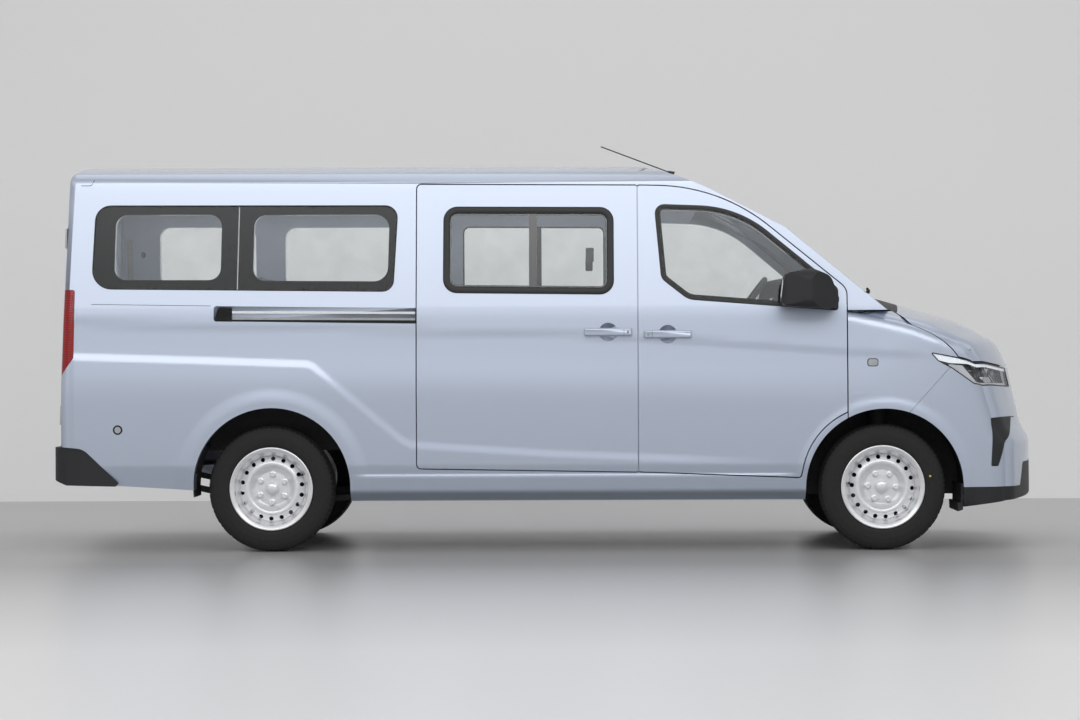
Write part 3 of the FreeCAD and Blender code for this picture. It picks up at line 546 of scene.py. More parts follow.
def formulaNormals(mesh, onFormula):
    # Gives the faces that lie on the side's formula that formula's own normals.
    loops = np.zeros(len(mesh.loops) * 3)
    mesh.corner_normals.foreach_get("vector", loops)
    loops = loops.reshape(-1, 3)
    corner = np.zeros(len(mesh.loops), int)
    mesh.loops.foreach_get("vertex_index", corner)
    points = np.zeros(len(mesh.vertices) * 3)
    mesh.vertices.foreach_get("co", points)
    points = points.reshape(-1, 3)
    x, z, reach = points[:, 0], points[:, 2], 0.0015
    height = lambda a, b: skinY(a, b) + relief(a, b)
    slopeX = (height(x + reach, z) - height(x - reach, z)) / (2 * reach)
    slopeZ = (height(x, z + reach) - height(x, z - reach)) / (2 * reach)
    normals = np.stack([-slopeX, np.sign(points[:, 1]), -slopeZ], 1)
    normals /= np.linalg.norm(normals, axis=1)[:, None]
    totals = np.zeros(len(mesh.polygons), int)
    mesh.polygons.foreach_get("loop_total", totals)
    chosen = np.repeat(np.array(onFormula), totals)
    loops[chosen] = normals[corner[chosen]]
    mesh.normals_split_custom_set(loops.tolist())


def inOrder(items):
    # Each item once, in the order met, so that every run cuts alike.
    return list(dict.fromkeys(items))


def gridSkin(name, sharp=24):
    bm = merged(name)
    faces = skinFaces(bm)
    xs = [v.co.x for f in faces for v in f.verts]
    zs = [v.co.z for f in faces for v in f.verts]
    lowX, highX, lowZ, highZ = min(xs), max(xs), min(zs), max(zs)
    geometry = inOrder(faces + [e for f in faces for e in f.edges] + [v for f in faces for v in f.verts])
    heights = steps(0.26, 1.03, 0.0095) + steps(1.05, 1.80, 0.035)
    xPlanes = [p for p in steps(-2.46, 1.60, 0.0125) if lowX + edgeGap < p < highX - edgeGap]
    zPlanes = [p for p in heights if lowZ + edgeGap < p < highZ - edgeGap]
    geometry = cutByPlanes(bm, geometry, 0, xPlanes)
    geometry = cutByPlanes(bm, geometry, 2, zPlanes)
    cutFaces = [g for g in geometry if isinstance(g, bmesh.types.BMFace)]
    inside = set(cutFaces)
    xGrid, zGrid = np.array(xPlanes), np.array(zPlanes)
    loose = []
    for edge in inOrder(e for f in cutFaces for e in f.edges):
        if len(edge.link_faces) != 2 or not all(f in inside for f in edge.link_faces):
            continue
        a, b = edge.verts[0].co, edge.verts[1].co
        onX = abs(a.x - b.x) < 0.0001 and np.abs(xGrid - a.x).min() < 0.0001
        onZ = abs(a.z - b.z) < 0.0001 and np.abs(zGrid - a.z).min() < 0.0001
        if not onX and not onZ:
            loose.append(edge)
    bmesh.ops.dissolve_edges(bm, edges=loose, use_verts=True)
    points = coordinates(bm)
    x, z = points[:, 0], points[:, 2]
    onSkin = tagSkin(bm, points)
    points[onSkin, 1] = (np.sign(points[:, 1]) * (skinY(x, z) + relief(x, z)))[onSkin]
    place(bm, points)
    markTrim(bm, 1)
    bmesh.ops.triangulate(bm, faces=[f for f in bm.faces if len(f.verts) > 4])
    onFormula = [abs(f.normal.y) > 0.4 and all(v.tag for v in f.verts) for f in bm.faces]
    mesh = finished(bm, sharp)
    formulaNormals(mesh, onFormula)
    return meshPiece(name + "_skin", mesh, (paint, trimLight), bodyOf(name), [name])


for name in ("side_left", "side_right", "front_door_left", "front_door_right", "sliding_door"):
    gridSkin(name)
    stage(name)


def nosePanel(name, material, xStep=0.014, sideStep=0.014, sharp=24, heights=()):
    bm = merged(name)
    points = coordinates(bm)
    low, high = points.min(0), points.max(0)
    geometry = list(bm.verts) + list(bm.edges) + list(bm.faces)
    sides = [p * sign for sign in (1, -1) for p in steps(0.62, 0.91, sideStep)]
    for axis, places in enumerate((steps(1.48, 2.50, xStep), sides, heights)):
        within = [p for p in places if low[axis] + edgeGap < p < high[axis] - edgeGap]
        geometry = cutByPlanes(bm, geometry, axis, within)
    place(bm, noseShift(coordinates(bm)))
    return meshPiece(name + "_skin", finished(bm, sharp), (material,), bodyOf(name), [name])


nosePanel("wings", paint, heights=steps(0.30, 1.20, 0.014))
nosePanel("front_bumper", paint, heights=steps(0.20, 0.92, 0.014))
nosePanel("bonnet", paint, xStep=0.016, heights=steps(0.86, 1.14, 0.014))
nosePanel("front_trim", blackPlastic, heights=steps(0.18, 0.70, 0.014))
stage("nose panels")
for name in ("roof", "rear_door_left", "rear_door_right", "cowl"):
    bm = merged(name)
    for face in bm.faces:
        centre = face.calc_center_median()
        if name == "roof" and face.normal.z < -0.3 and centre.z > 1.70:
            face.material_index = 1
        if name.startswith("rear_door") and face.normal.x > 0.5:
            face.material_index = 1
    inner = headliner if name == "roof" else trimLight
    outer = blackPlastic if name == "cowl" else paint
    meshPiece(name + "_skin", finished(bm, 28), (outer, inner), bodyOf(name), [name])
stage("roof and rear doors")


# Slabs: thin pieces laid on the formulas, given by outlines with holes.
def isInside(points, loop):
    a = np.array([p[:] for p in loop])
    b = np.roll(a, -1, 0)
    x, y = points[:, 0][:, None], points[:, 1][:, None]
    crosses = (a[:, 1] > y) != (b[:, 1] > y)
    rise = np.where(b[:, 1] == a[:, 1], 1e-9, b[:, 1] - a[:, 1])
    at = a[:, 0] + (y - a[:, 1]) * (b[:, 0] - a[:, 0]) / rise
    return (np.sum(crosses & (x < at), 1) % 2) == 1


def isCovered(points, outer, holes):
    covered = isInside(points, outer)
    for hole in holes:
        covered &= ~isInside(points, hole)
    return covered


def planarMesh(outer, holes, spacing):
    # Points, triangles and loops covering an outline less its holes.
    points, edges, loops = [], [], []
    for loop in [outer] + list(holes):
        first = len(points)
        points += [Vector(p[:2]) for p in loop]
        loops.append(list(range(first, len(points))))
        edges += [(first + i, first + (i + 1) % len(loop)) for i in range(len(loop))]
    border = np.array([p[:] for p in points])
    low, high = border.min(0), border.max(0)
    a, b = np.meshgrid(np.arange(low[0], high[0], spacing), np.arange(low[1], high[1], spacing))
    grid = np.stack([a.ravel(), b.ravel()], 1)
    grid = grid[isCovered(grid, outer, holes)]
    gaps = np.array([np.hypot(*(border - g).T).min() for g in grid]) if len(grid) else np.zeros(0)
    points += [Vector(g) for g in grid[gaps > spacing * 0.35]]
    result = delaunay_2d_cdt(points, edges, [], 0, 1e-7)
    flat, faces, originals = result[0], result[2], result[3]
    newIndex = {}
    for i, sources in enumerate(originals):
        for source in sources:
            newIndex[source] = i
    flat = np.array([p[:] for p in flat])
    centres = np.array([flat[list(f)].mean(0) for f in faces])
    faces = [tuple(f) for f, keep in zip(faces, isCovered(centres, outer, holes)) if keep]
    return flat, faces, [[newIndex[i] for i in loop] for loop in loops]


def smoothed(mesh, sharpDegrees):
    mesh.validate()
    return shaded(mesh, sharpDegrees)


def outwards(mesh):
    bm = bmesh.new()
    bm.from_mesh(mesh)
    bmesh.ops.recalc_face_normals(bm, faces=bm.faces)
    bm.to_mesh(mesh)
    bm.free()
    return mesh


def slab(name, outer, holes, toPoint, top, bottom, material, body="body", replaced=(), spacing=0.03, sharp=40):
    # A sheet between two depths below a surface; toPoint turns (a, b, depth) into points.
    flat, faces, loops = planarMesh(outer, holes, spacing)
    count = len(flat)
    upper = toPoint(flat[:, 0], flat[:, 1], top)
    lower = toPoint(flat[:, 0], flat[:, 1], bottom)
    allFaces = list(faces) + [tuple(i + count for i in f[::-1]) for f in faces]
    for loop in loops:
        for i, j in zip(loop, loop[1:] + loop[:1]):
            allFaces.append((i, i + count, j + count, j))
    mesh = bpy.data.meshes.new(name)
    mesh.from_pydata(np.vstack([upper, lower]).tolist(), [], allFaces)
    return meshPiece(name, smoothed(outwards(mesh), sharp), (material,), body, replaced)


def strip(name, loops, material, body="body", closedAcross=True, closedAlong=True, sharp=50):
    # A skin through equal loops of points, such as a bead round a window.
    size = len(loops[0])
    points = [tuple(p) for loop in loops for p in loop]
    faces = []
    rows = len(loops) if closedAcross else len(loops) - 1
    for r in range(rows):
        s = (r + 1) % len(loops)
        for i in range(size if closedAlong else size - 1):
            j = (i + 1) % size
            faces.append((r * size + i, r * size + j, s * size + j, s * size + i))
    if not closedAlong:
        faces.append(tuple(r * size for r in range(len(loops))))
        faces.append(tuple(r * size + size - 1 for r in range(len(loops)))[::-1])
    mesh = bpy.data.meshes.new(name)
    mesh.from_pydata(points, [], faces)
    return meshPiece(name, smoothed(outwards(mesh), sharp), (material,), body)


def bead(name, outline, width, rise, toPoint, material, body="body", sunk=0.004):
    # A rounded rubber bead of a given width just inside an outline.
    cuts = [(0.0, -sunk), (0.0, rise * 0.4), (0.16, rise), (0.84, rise), (1.0, rise * 0.4), (1.0, -sunk)]
    loops = []
    for share, out in cuts:
        path = inset(outline, share * width)
        loops.append(toPoint(np.array([p.x for p in path]), np.array([p.y for p in path]), -out))
    return strip(name, loops, material, body)


def sideMap(sign):
    def toPoint(x, z, depth):
        return np.stack([x, sign * (skinY(x, z) + relief(x, z) - depth), z], 1)
    return toPoint


rearPath = cornerPath(mm([(-2403, 2000, 0), (-2439, 760, 2500), (-2439, -200, 0)]), closed=False)[::-1]
rearZ = np.array([p.y for p in rearPath])
rearX = np.array([p.x for p in rearPath])


def rearMap(y, z, depth):
    return np.stack([np.interp(z, rearZ, rearX) + depth, y, z], 1)


screenAxis = -3.270
screenRear = 0.2                   # the screen's line is read ahead of here, where it falls
screenPath = cornerPath(mm([
    (-400, 1960, 0), (585, 1960, 1550), (1250, 1611, 0), (1800, 1156, 0),
]), step=0.02, closed=False)
screenZ = np.array([p.y for p in screenPath if p.x > screenRear])[::-1]
screenX = np.array([p.x for p in screenPath if p.x > screenRear])[::-1]


def screenMap(y, z, depth):
    step = 0.003
    slope = (np.interp(z + step, screenZ, screenX) - np.interp(z - step, screenZ, screenX)) / (2 * step)
    ahead = 1 / np.sqrt(1 + slope ** 2)
    radius = np.interp(z, screenZ, screenX) - screenAxis
    reach = np.sqrt(radius ** 2 - y ** 2)
    inward = depth * ahead / radius
    return np.stack([screenAxis + reach * (1 - inward), y * (1 - inward), z + depth * slope * ahead], 1)


def noseMap(sign):
    def toPoint(x, z, depth):
        side, plan = baseY(x, z)
        radius = np.interp(z, noseZ[::-1], noseR[::-1])
        front = np.sqrt(np.maximum(radius ** 2 - (x - noseAxis) ** 2, 0.0))
        points = np.stack([x, sign * np.minimum(np.minimum(side, plan), front), z], 1)
        moved = noseShift(points)
        ahead = np.clip((0.9 - np.abs(moved[:, 1])) / 0.3, 0.15, 0.9)
        inward = np.stack([-ahead, -sign * np.sqrt(1 - ahead ** 2), np.zeros(len(x))], 1)
        return moved + inward * depth
    return toPoint


# Glazing: borders, rubber and dividers.
frontWindow = cornerPath(mm([
    (527, 1727, 42), (560, 1358, 50), (692, 1254, 100), (1432, 1196, 12), (1432, 1303, 30), (940, 1711, 560),
]), step=0.012)
slidingWindow = cornerPath(mm([(-520, 1298, 60), (312, 1287, 60), (312, 1706, 60), (-518, 1712, 60)]), step=0.012)
quarterWindow = cornerPath(mm([(-2282, 1318, 95), (-780, 1299, 55), (-757, 1726, 60), (-2266, 1732, 75)]), step=0.012)
quarterClear = [
    cornerPath(mm([(-2172, 1360, 60), (-1640, 1358, 60), (-1636, 1686, 60), (-2168, 1688, 60)]), step=0.012),
    cornerPath(mm([(-1478, 1354, 60), (-806, 1348, 70), (-797, 1683, 70), (-1474, 1684, 60)]), step=0.012),
]
rearWindow = cornerPath(mm([(95, 1290, 60), (640, 1290, 70), (606, 1725, 70), (95, 1725, 60)]), step=0.012)
screenOpening = cornerPath(mm([(-762, 1232, 45), (762, 1232, 45), (668, 1812, 70), (-668, 1812, 70)]), step=0.012)
quarterDivider = [Vector(p) for p in ((-1.5575, 1.31), (-1.5525, 1.31), (-1.5465, 1.722), (-1.5515, 1.722))]
slidingBar = [Vector(p) for p in ((-0.101, 1.300), (-0.061, 1.300), (-0.061, 1.700), (-0.101, 1.700))]
slidingLatch = cornerPath(mm([(182, 1440, 6), (222, 1440, 6), (222, 1512, 6), (182, 1512, 6)]))
fritWidth = 0.024
fritTop, fritBottom = 0.0044, 0.0048

for sign, side in ((-1, "right"), (1, "left")):
    onSide = sideMap(sign)
    doorBody = "front_door_%s_body" % side
    doorOutline = filled(frontWindow, 0.03)
    slab("front_door_frit_" + side, doorOutline, [inset(doorOutline, fritWidth)], onSide,
         fritTop, fritBottom, fritBlack, doorBody)
    doorSeal = inset(filled(frontWindow, 0.02), -0.004)
    bead("front_door_seal_" + side, doorSeal, 0.019, 0.0012, onSide, gasket, doorBody)
    clearHoles = [filled(clear, 0.03) for clear in quarterClear]
    slab("quarter_frit_" + side, filled(quarterWindow, 0.03), clearHoles, onSide, fritTop, fritBottom, fritBlack)
    bead("quarter_seal_" + side, inset(filled(quarterWindow, 0.02), -0.004), 0.006, 0.0006, onSide, gasket)
    slab("quarter_divider_" + side, quarterDivider, [], onSide, 0.0002, 0.0035, greyLens)
    windowFrame = filled(inset(slidingWindow, -0.010), 0.02)
    bead("sliding_window_frame_" + side, windowFrame, 0.034, 0.0045, onSide, gasket)
    inner = inset(slidingWindow, 0.0235)
    bead("sliding_window_inner_frame_" + side, filled(inner, 0.02), 0.008, -0.0052, onSide, glossBlack, sunk=0.012)
    bar = filled(slidingBar, 0.02)
    slab("sliding_window_bar_" + side, bar, [], onSide, 0.0026, 0.0039, glossBlack)
    slab("sliding_window_bar_inner_" + side, bar, [], onSide, 0.0095, 0.022, blackPlastic)
    slab("sliding_window_latch_" + side, slidingLatch, [], onSide, 0.010, 0.024, blackPlastic)
    rearOutline = [Vector((sign * p.x, p.y)) for p in inset(rearWindow, -fritWidth)]
    rearHole = [Vector((sign * p.x, p.y)) for p in rearWindow]
    rearBody = "rear_door_%s_body" % side
    slab("rear_door_frit_" + side, filled(rearOutline, 0.03), [filled(rearHole, 0.03)], rearMap, fritTop, fritBottom,
         fritBlack, rearBody)
screenHole = inset(filled(screenOpening, 0.03), 0.030)
slab("windscreen_frit", filled(inset(screenOpening, -0.003), 0.03), [screenHole], screenMap, fritTop, fritBottom,
     fritBlack)
stage("glazing")


# Wheels: a steel rim and disc with round vents, six nuts, a cap, a valve and a tyre.
segments = 120


def lathePoints(outline, around=segments):
    # A closed outline of (outward, radius) turned about the Y axis, outwards along +Y.
    points, faces = [], []
    size = len(outline)
    for i in range(around):
        turn = 2 * math.pi * i / around
        points += [(p.y * math.sin(turn), p.x, p.y * math.cos(turn)) for p in outline]
    for i in range(around):
        j = (i + 1) % around
        for k in range(size):
            m = (k + 1) % size
            faces.append((i * size + k, j * size + k, j * size + m, i * size + m))
    return points, faces


def latheMesh(name, corners, around=segments, step=0.003):
    outline = cornerPath(mm(corners), step=step)
    points, faces = lathePoints(outline, around)
    mesh = bpy.data.meshes.new(name)
    mesh.from_pydata(points, [], faces)
    return outwards(mesh)


def joinedMesh(name, meshes):
    bm = bmesh.new()
    for mesh in meshes:
        bm.from_mesh(mesh)
    return unloaded(bm, name)


def rounded(name, rings, around=24):
    # A closed solid of revolution about Y from (outward, radius) rings, with pointed ends.
    points, faces = [], []
    for a, radius in rings:
        for i in range(around):
            turn = 2 * math.pi * i / around
            points.append((radius * math.sin(turn), a, radius * math.cos(turn)))
    for r in range(len(rings) - 1):
        for i in range(around):
            j = (i + 1) % around
            faces.append((r * around + i, r * around + j, (r + 1) * around + j, (r + 1) * around + i))
    faces.append(tuple(range(around)))
    faces.append(tuple(range((len(rings) - 1) * around, len(rings) * around))[::-1])
    mesh = bpy.data.meshes.new(name)
    mesh.from_pydata(points, [], faces)
    return outwards(mesh)


def shiftedMesh(mesh, matrix):
    copy = mesh.copy()
    copy.transform(matrix)
    return copy


rimOutline = [
    (93, 203, 1), (91, 208, 2), (86, 209, 2), (82, 203, 3), (79, 188.5, 5), (60, 186, 6), (48, 176, 8), (20, 168, 8),
    (-25, 168, 8), (-45, 183, 8), (-60, 186, 6), (-77, 188.5, 5), (-80, 203, 3), (-85, 209, 2), (-90, 209, 2),
    (-91, 203, 1), (-86, 184, 8), (-60, 180, 6), (-48, 177, 8), (-28, 162, 8), (22, 162, 8), (50, 171, 10),
    (66, 181, 8), (84, 184, 8),
]
discOutline = [
    (22, 30, 0), (22, 62, 3), (20, 86, 8), (30, 100, 12), (46, 115, 16), (47, 130, 14), (36, 150, 10), (28, 163, 3),
    (21, 163, 2), (30, 147, 8), (41, 128, 10), (40, 118, 12), (25, 104, 12), (14, 88, 8), (16, 62, 3), (16, 30, 0),
]
ventCount, ventCircle, ventRadius = 18, 0.1505, 0.0108
nutCircle, nutCount = 0.06985, 6


def withVents(mesh):
    cutter = bmesh.new()
    for i in range(ventCount):
        turn = 2 * math.pi * (i + 0.5) / ventCount
        spot = Matrix.Translation((ventCircle * math.sin(turn), 0.035, ventCircle * math.cos(turn)))
        bmesh.ops.create_cone(cutter, cap_ends=True, segments=28, radius1=ventRadius, radius2=ventRadius, depth=0.08,
                              matrix=spot @ Matrix.Rotation(math.pi / 2, 4, "X"))
    cutMesh = bpy.data.meshes.new("vent_cutter")
    cutter.to_mesh(cutMesh)
    cutter.free()
    cutObject = bpy.data.objects.new("vent_cutter", cutMesh)
    target = bpy.data.objects.new("disc_blank", mesh)
    for obj in (cutObject, target):
        bpy.context.scene.collection.objects.link(obj)
    modifier = target.modifiers.new("vents", "BOOLEAN")
    modifier.operation = "DIFFERENCE"
    modifier.solver = "EXACT"
    modifier.object = cutObject
    depsgraph = bpy.context.evaluated_depsgraph_get()
    result = bpy.data.meshes.new_from_object(target.evaluated_get(depsgraph))
    bpy.data.objects.remove(target)
    bpy.data.objects.remove(cutObject)
    return result


def hexNut(turn):
    bm = bmesh.new()
    rings = ((0.0, 0.0165), (0.004, 0.0165), (0.006, 0.0118), (0.020, 0.0118), (0.0225, 0.0095))
    loops = []
    count = 24
    for row, (height, radius) in enumerate(rings):
        loop = []
        for i in range(count):
            angle = 2 * math.pi * i / count
            size = radius
            if row >= 2:
                size = radius * 0.94 / max(0.87, math.cos((angle % (math.pi / 3)) - math.pi / 6))
            loop.append(bm.verts.new((size * math.cos(angle), height, size * math.sin(angle))))
        loops.append(loop)
    for low, high in zip(loops[:-1], loops[1:]):
        for i in range(count):
            bm.faces.new((low[i], low[(i + 1) % count], high[(i + 1) % count], high[i]))
    bm.faces.new(loops[0])
    bm.faces.new(loops[-1])
    bmesh.ops.recalc_face_normals(bm, faces=bm.faces)
    mesh = unloaded(bm, "nut")
    mesh.transform(Matrix.Translation((nutCircle * math.sin(turn), 0.0215, nutCircle * math.cos(turn))))
    return mesh


discMesh = withVents(latheMesh("disc", discOutline))
rimMesh = latheMesh("rim", rimOutline)
nutMeshes = [hexNut(2 * math.pi * (i + 0.5) / nutCount) for i in range(nutCount)]
capMesh = rounded("cap", [(0.014, 0.0300), (0.028, 0.0330), (0.040, 0.0330), (0.047, 0.0300), (0.052, 0.0230),
                          (0.0545, 0.0130), (0.0555, 0.0030)], 48)
valveMesh = rounded("valve", [(0.030, 0.0045), (0.058, 0.0045), (0.060, 0.0052), (0.076, 0.0052), (0.078, 0.004)], 16)
valveMesh.transform(Matrix.Translation((0.166, 0, 0.010)))
tyreCorners = [
    (60, 186.4, 0), (77.6, 188.8, 2), (78.9, 206, 3), (91, 212.5, 6), (95, 226, 14), (97.0, 255, 40), (93, 284, 26),
    (85, 303, 9), (78, 309.5, 5), (58, 312.8, 30), (0, 314, 0), (-58, 312.8, 30), (-78, 309.5, 5), (-85, 303, 9),
    (-93, 284, 26), (-97.0, 255, 40), (-95, 226, 14), (-91, 212.5, 6), (-78.9, 206, 3), (-77.6, 188.8, 2),
    (-60, 186.4, 0), (-70, 240, 20), (-56, 298, 20), (56, 298, 20), (70, 240, 20),
]
treadSegments = 288
grooves = (-0.046, -0.016, 0.016, 0.046)     # middles of the tread's four grooves, from the wheel's middle plane
sidewallRings = (0.232, 0.268)               # radii of the raised rings on the sidewall
treadSizes = {
    "start": 0.3095, "shoulder": 0.058,
    "grooveDepth": 0.0068, "grooveHalf": 0.0042,
    "lugs": 72, "lugDepth": 0.0040, "lugStart": 0.297,
    "blocks": 96, "blockDepth": 0.0045,
    "ringRise": 0.0012, "ringWidth": 0.0016, "wallRise": 0.0004,
}


def tyreMesh():
    outline = filled(cornerPath(mm(tyreCorners), step=0.0035), 0.0045)
    points, faces = lathePoints(outline, treadSegments)
    points = np.array(points)
    radius = np.hypot(points[:, 0], points[:, 2])
    angle = np.arctan2(points[:, 0], points[:, 2])
    across = points[:, 1]
    tread = radius > treadSizes["start"]
    outer = np.abs(across) > treadSizes["shoulder"]
    cut = np.zeros(len(points))
    for groove in grooves:
        inGroove = (np.abs(across - groove) < treadSizes["grooveHalf"]) & tread
        cut = np.maximum(cut, treadSizes["grooveDepth"] * inGroove)
    lugs = (np.sin(angle * treadSizes["lugs"]) > 0.55) & outer & (radius > treadSizes["lugStart"])
    cut = np.maximum(cut, treadSizes["lugDepth"] * lugs)
    middle = (np.sin(angle * treadSizes["blocks"] + across * 60) > 0.80) & tread & ~outer
    cut = np.maximum(cut, treadSizes["blockDepth"] * middle)
    wall = (radius > 0.205) & (radius < 0.300) & (np.abs(across) > 0.080)
    rise = np.zeros(len(points))
    for ring in sidewallRings:
        rise += treadSizes["ringRise"] * np.exp(-((radius - ring) / treadSizes["ringWidth"]) ** 2)
    scale = (radius - cut) / np.maximum(radius, 1e-6)
    points[:, 0] *= scale
    points[:, 2] *= scale
    wallRise = treadSizes["wallRise"]
    points[:, 1] += np.sign(across) * (np.minimum(rise, wallRise) - wallRise) * wall
    mesh = bpy.data.meshes.new("tyre")
    mesh.from_pydata(points.tolist(), [], faces)
    return smoothed(outwards(mesh), 32)


tyreTemplate = tyreMesh()
metalTemplate = joinedMesh("wheel_metal", [rimMesh, discMesh, capMesh] + nutMeshes)
axleX, wheelY, wheelZ = {"front": 1.657, "rear": -1.393}, 0.745, 0.314
for end, axle in axleX.items():
    for sign, side in ((1, "left"), (-1, "right")):
        turned = Matrix.Rotation(0 if sign > 0 else math.pi, 4, "Z")
        spin = Matrix.Rotation(math.radians(3.0 if end == "front" else 152.0), 4, "Y")
        spot = Matrix.Translation((axle, sign * wheelY, wheelZ)) @ spin @ turned
        wheelBody = "wheel_%s_%s_body" % (end, side)
        metal = smoothed(shiftedMesh(metalTemplate, spot), 30)
        meshPiece("wheel_%s_%s_metal" % (end, side), metal, (wheelSilver,), wheelBody, ["wheel_%s_%s" % (end, side)])
        valve = smoothed(shiftedMesh(valveMesh, spot), 40)
        meshPiece("wheel_%s_%s_valve" % (end, side), valve, (blackPlastic,), wheelBody)
        meshPiece("tyre_%s_%s_rubber" % (end, side), shiftedMesh(tyreTemplate, spot), (rubber,), wheelBody,
                  ["tyre_%s_%s" % (end, side)])
stage("wheels")


# Headlamps: a dark bowl, a light bar, a bright sweep, facets and two projectors under a clear cover.
headlamp = {
    "outline": [
        (1885, 986, 6), (2035, 958, 0), (2321, 902, 6), (2343, 805, 6), (2289, 809, 0), (2109, 825, 30),
        (1999, 901, 20), (1925, 941, 10),
    ],
    "bar": [
        (1897, 979, 2), (2035, 951, 0), (2316, 896, 0), (2318, 884, 0), (2080, 925, 30), (1985, 930, 20),
        (1930, 944, 8),
    ],
    "sweep": [
        (1972, 926, 4), (2052, 917, 4), (2092, 872, 20), (2128, 836, 14), (2336, 822, 0), (2338, 812, 0),
        (2112, 829, 26), (2005, 902, 10),
    ],
    "facets": [
        [(2177, 900, 2), (2208, 899, 2), (2192, 876, 2)],
        [(2160, 862, 2), (2206, 858, 2), (2222, 834, 2), (2186, 832, 2)],
        [(2206, 866, 0), (2211, 866, 0), (2250, 832, 0), (2244, 831, 0)],
        [(2070, 893, 2), (2112, 893, 2), (2100, 886, 2)],
    ],
    "brow": [(2036, 957.5, 0), (2321, 901.5, 0), (2321, 893, 0), (2036, 950, 0)],
    "depth": 0.048,
    "projectors": ((2.186, 0.890), (2.262, 0.872)),
    "projectorRadius": 0.020,
    "projectorTurn": math.radians(50),
}
bowlGrey = speckled("lamp_bowl", (0.055, 0.058, 0.064), 0.35, 70, 0.25, metallic=0.4)


def ringWall(name, outline, toPoint, top, bottom, thick, material, body="body"):
    loops = []
    for share, depth in ((0, top), (thick, top), (thick, bottom), (0, bottom)):
        path = inset(outline, share) if share else outline
        loops.append(toPoint(np.array([p.x for p in path]), np.array([p.y for p in path]), depth))
    return strip(name, loops, material, body)


def flatPath(corners, step=0.008, fill=0.012):
    return filled(cornerPath(mm(corners), step=step), fill)


for sign, side in ((-1, "right"), (1, "left")):
    onNose = noseMap(sign)
    outline = flatPath(headlamp["outline"])
    depth = headlamp["depth"]
    slab("headlamp_bowl_" + side, outline, [], onNose, depth, depth + 0.003, bowlGrey, replaced=("headlamps",),
         spacing=0.02)
    ringWall("headlamp_wall_" + side, outline, onNose, 0.001, depth, 0.002, seamAndShadeBlack)
    slab("headlamp_bar_" + side, flatPath(headlamp["bar"]), [], onNose, 0.004, 0.012, lightStrip, spacing=0.02)
    slab("headlamp_sweep_" + side, flatPath(headlamp["sweep"]), [], onNose, 0.012, 0.026, brightTrim, spacing=0.02)
    for number, facet in enumerate(headlamp["facets"]):
        slab("headlamp_facet_%d_%s" % (number + 1, side), flatPath(facet), [], onNose, 0.022, 0.030, chrome,
             spacing=0.02)
    slab("headlamp_brow_" + side, flatPath(headlamp["brow"]), [], onNose, 0.0002, 0.004, glossBlack, spacing=0.02)
    slab("headlamp_cover_" + side, inset(outline, 0.003), [], onNose, 0.0004, 0.0022, lampCover, spacing=0.015)
    bead("headlamp_border_" + side, outline, 0.0055, 0.0006, onNose, gasket)
    radius = headlamp["projectorRadius"]
    rings = [(0.0, radius), (0.006, radius), (0.012, radius * 0.85), (0.016, radius * 0.55), (0.018, 0.002)]
    for number, (x, z) in enumerate(headlamp["projectors"]):
        ball = rounded("projector", rings, 32)
        spot = Vector(onNose(np.array([x]), np.array([z]), 0.044)[0])
        flip = Matrix.Rotation(math.pi if sign < 0 else 0, 4, "X")
        aim = Matrix.Rotation(sign * headlamp["projectorTurn"], 4, "Z") @ flip
        ball.transform(Matrix.Translation(spot) @ aim)
        meshPiece("headlamp_projector_%d_%s" % (number + 1, side), smoothed(ball, 50), (projectorGlass,))
stage("headlamps")


# Tail lamps: the CAD lens cut into bands and ribbed.
tailBands = {
    "top": 1.300, "front": -2.374, "lineRear": -2.4105, "lineFront": -2.4045,
    "amber": (1.010, 1.090), "clear": (0.915, 0.985),
}
bm = merged("tail_lamps")
geometry = list(bm.verts) + list(bm.edges) + list(bm.faces)
geometry = cutByPlanes(bm, geometry, 0, [tailBands["front"], tailBands["lineRear"], tailBands["lineFront"]])
geometry = cutByPlanes(bm, geometry, 2, [tailBands["top"], *tailBands["amber"], *tailBands["clear"]])
for face in bm.faces:
    centre = face.calc_center_median()
    onRear = abs(face.normal.x) > 0.7
    if centre.z > tailBands["top"] or (not onRear and centre.x > tailBands["front"]):
        face.material_index = 1
    elif not onRear and tailBands["lineRear"] < centre.x < tailBands["lineFront"]:
        face.material_index = 1
    elif onRear and tailBands["amber"][0] < centre.z < tailBands["amber"][1]:
        face.material_index = 2
    elif onRear and tailBands["clear"][0] < centre.z < tailBands["clear"][1]:
        face.material_index = 3
lenses = (ribbedRed, darkRedLens, amberLens, greyLens)
meshPiece("tail_lamp_lenses", finished(bm, 28), lenses, "body", ["tail_lamps"])


# Sliding door rail: a dark channel with a bright strip, a grey runner and an end cap.
rail = {
    "channel": [(-1670, 1152, 14), (-642, 1138, 0), (-642, 1212, 0), (-1670, 1226, 14)],
    "bright": [(-1580, 1191, 0), (-668, 1184, 0), (-668, 1196, 0), (-1580, 1203, 0)],
    "runner": [(-1580, 1160, 0), (-668, 1153, 0), (-668, 1164, 0), (-1580, 1171, 0)],
    "cap": [(-1668, 1158, 8), (-1580, 1154, 0), (-1580, 1218, 0), (-1650, 1221, 14)],
}
onRight = sideMap(-1)
slab("rail_channel", flatPath(rail["channel"], fill=0.03), [], onRight, 0.013, 0.019, seamAndShadeBlack,
     replaced=("sliding_rail",))
slab("rail_bright_strip", flatPath(rail["bright"], fill=0.03), [], onRight, 0.0020, 0.013, railMetal)
slab("rail_runner", flatPath(rail["runner"], fill=0.03), [], onRight, 0.0060, 0.013, greyMetal)
slab("rail_end_cap", flatPath(rail["cap"], fill=0.02), [], onRight, 0.0004, 0.013, glossBlack)
stage("tail lamps and rail")
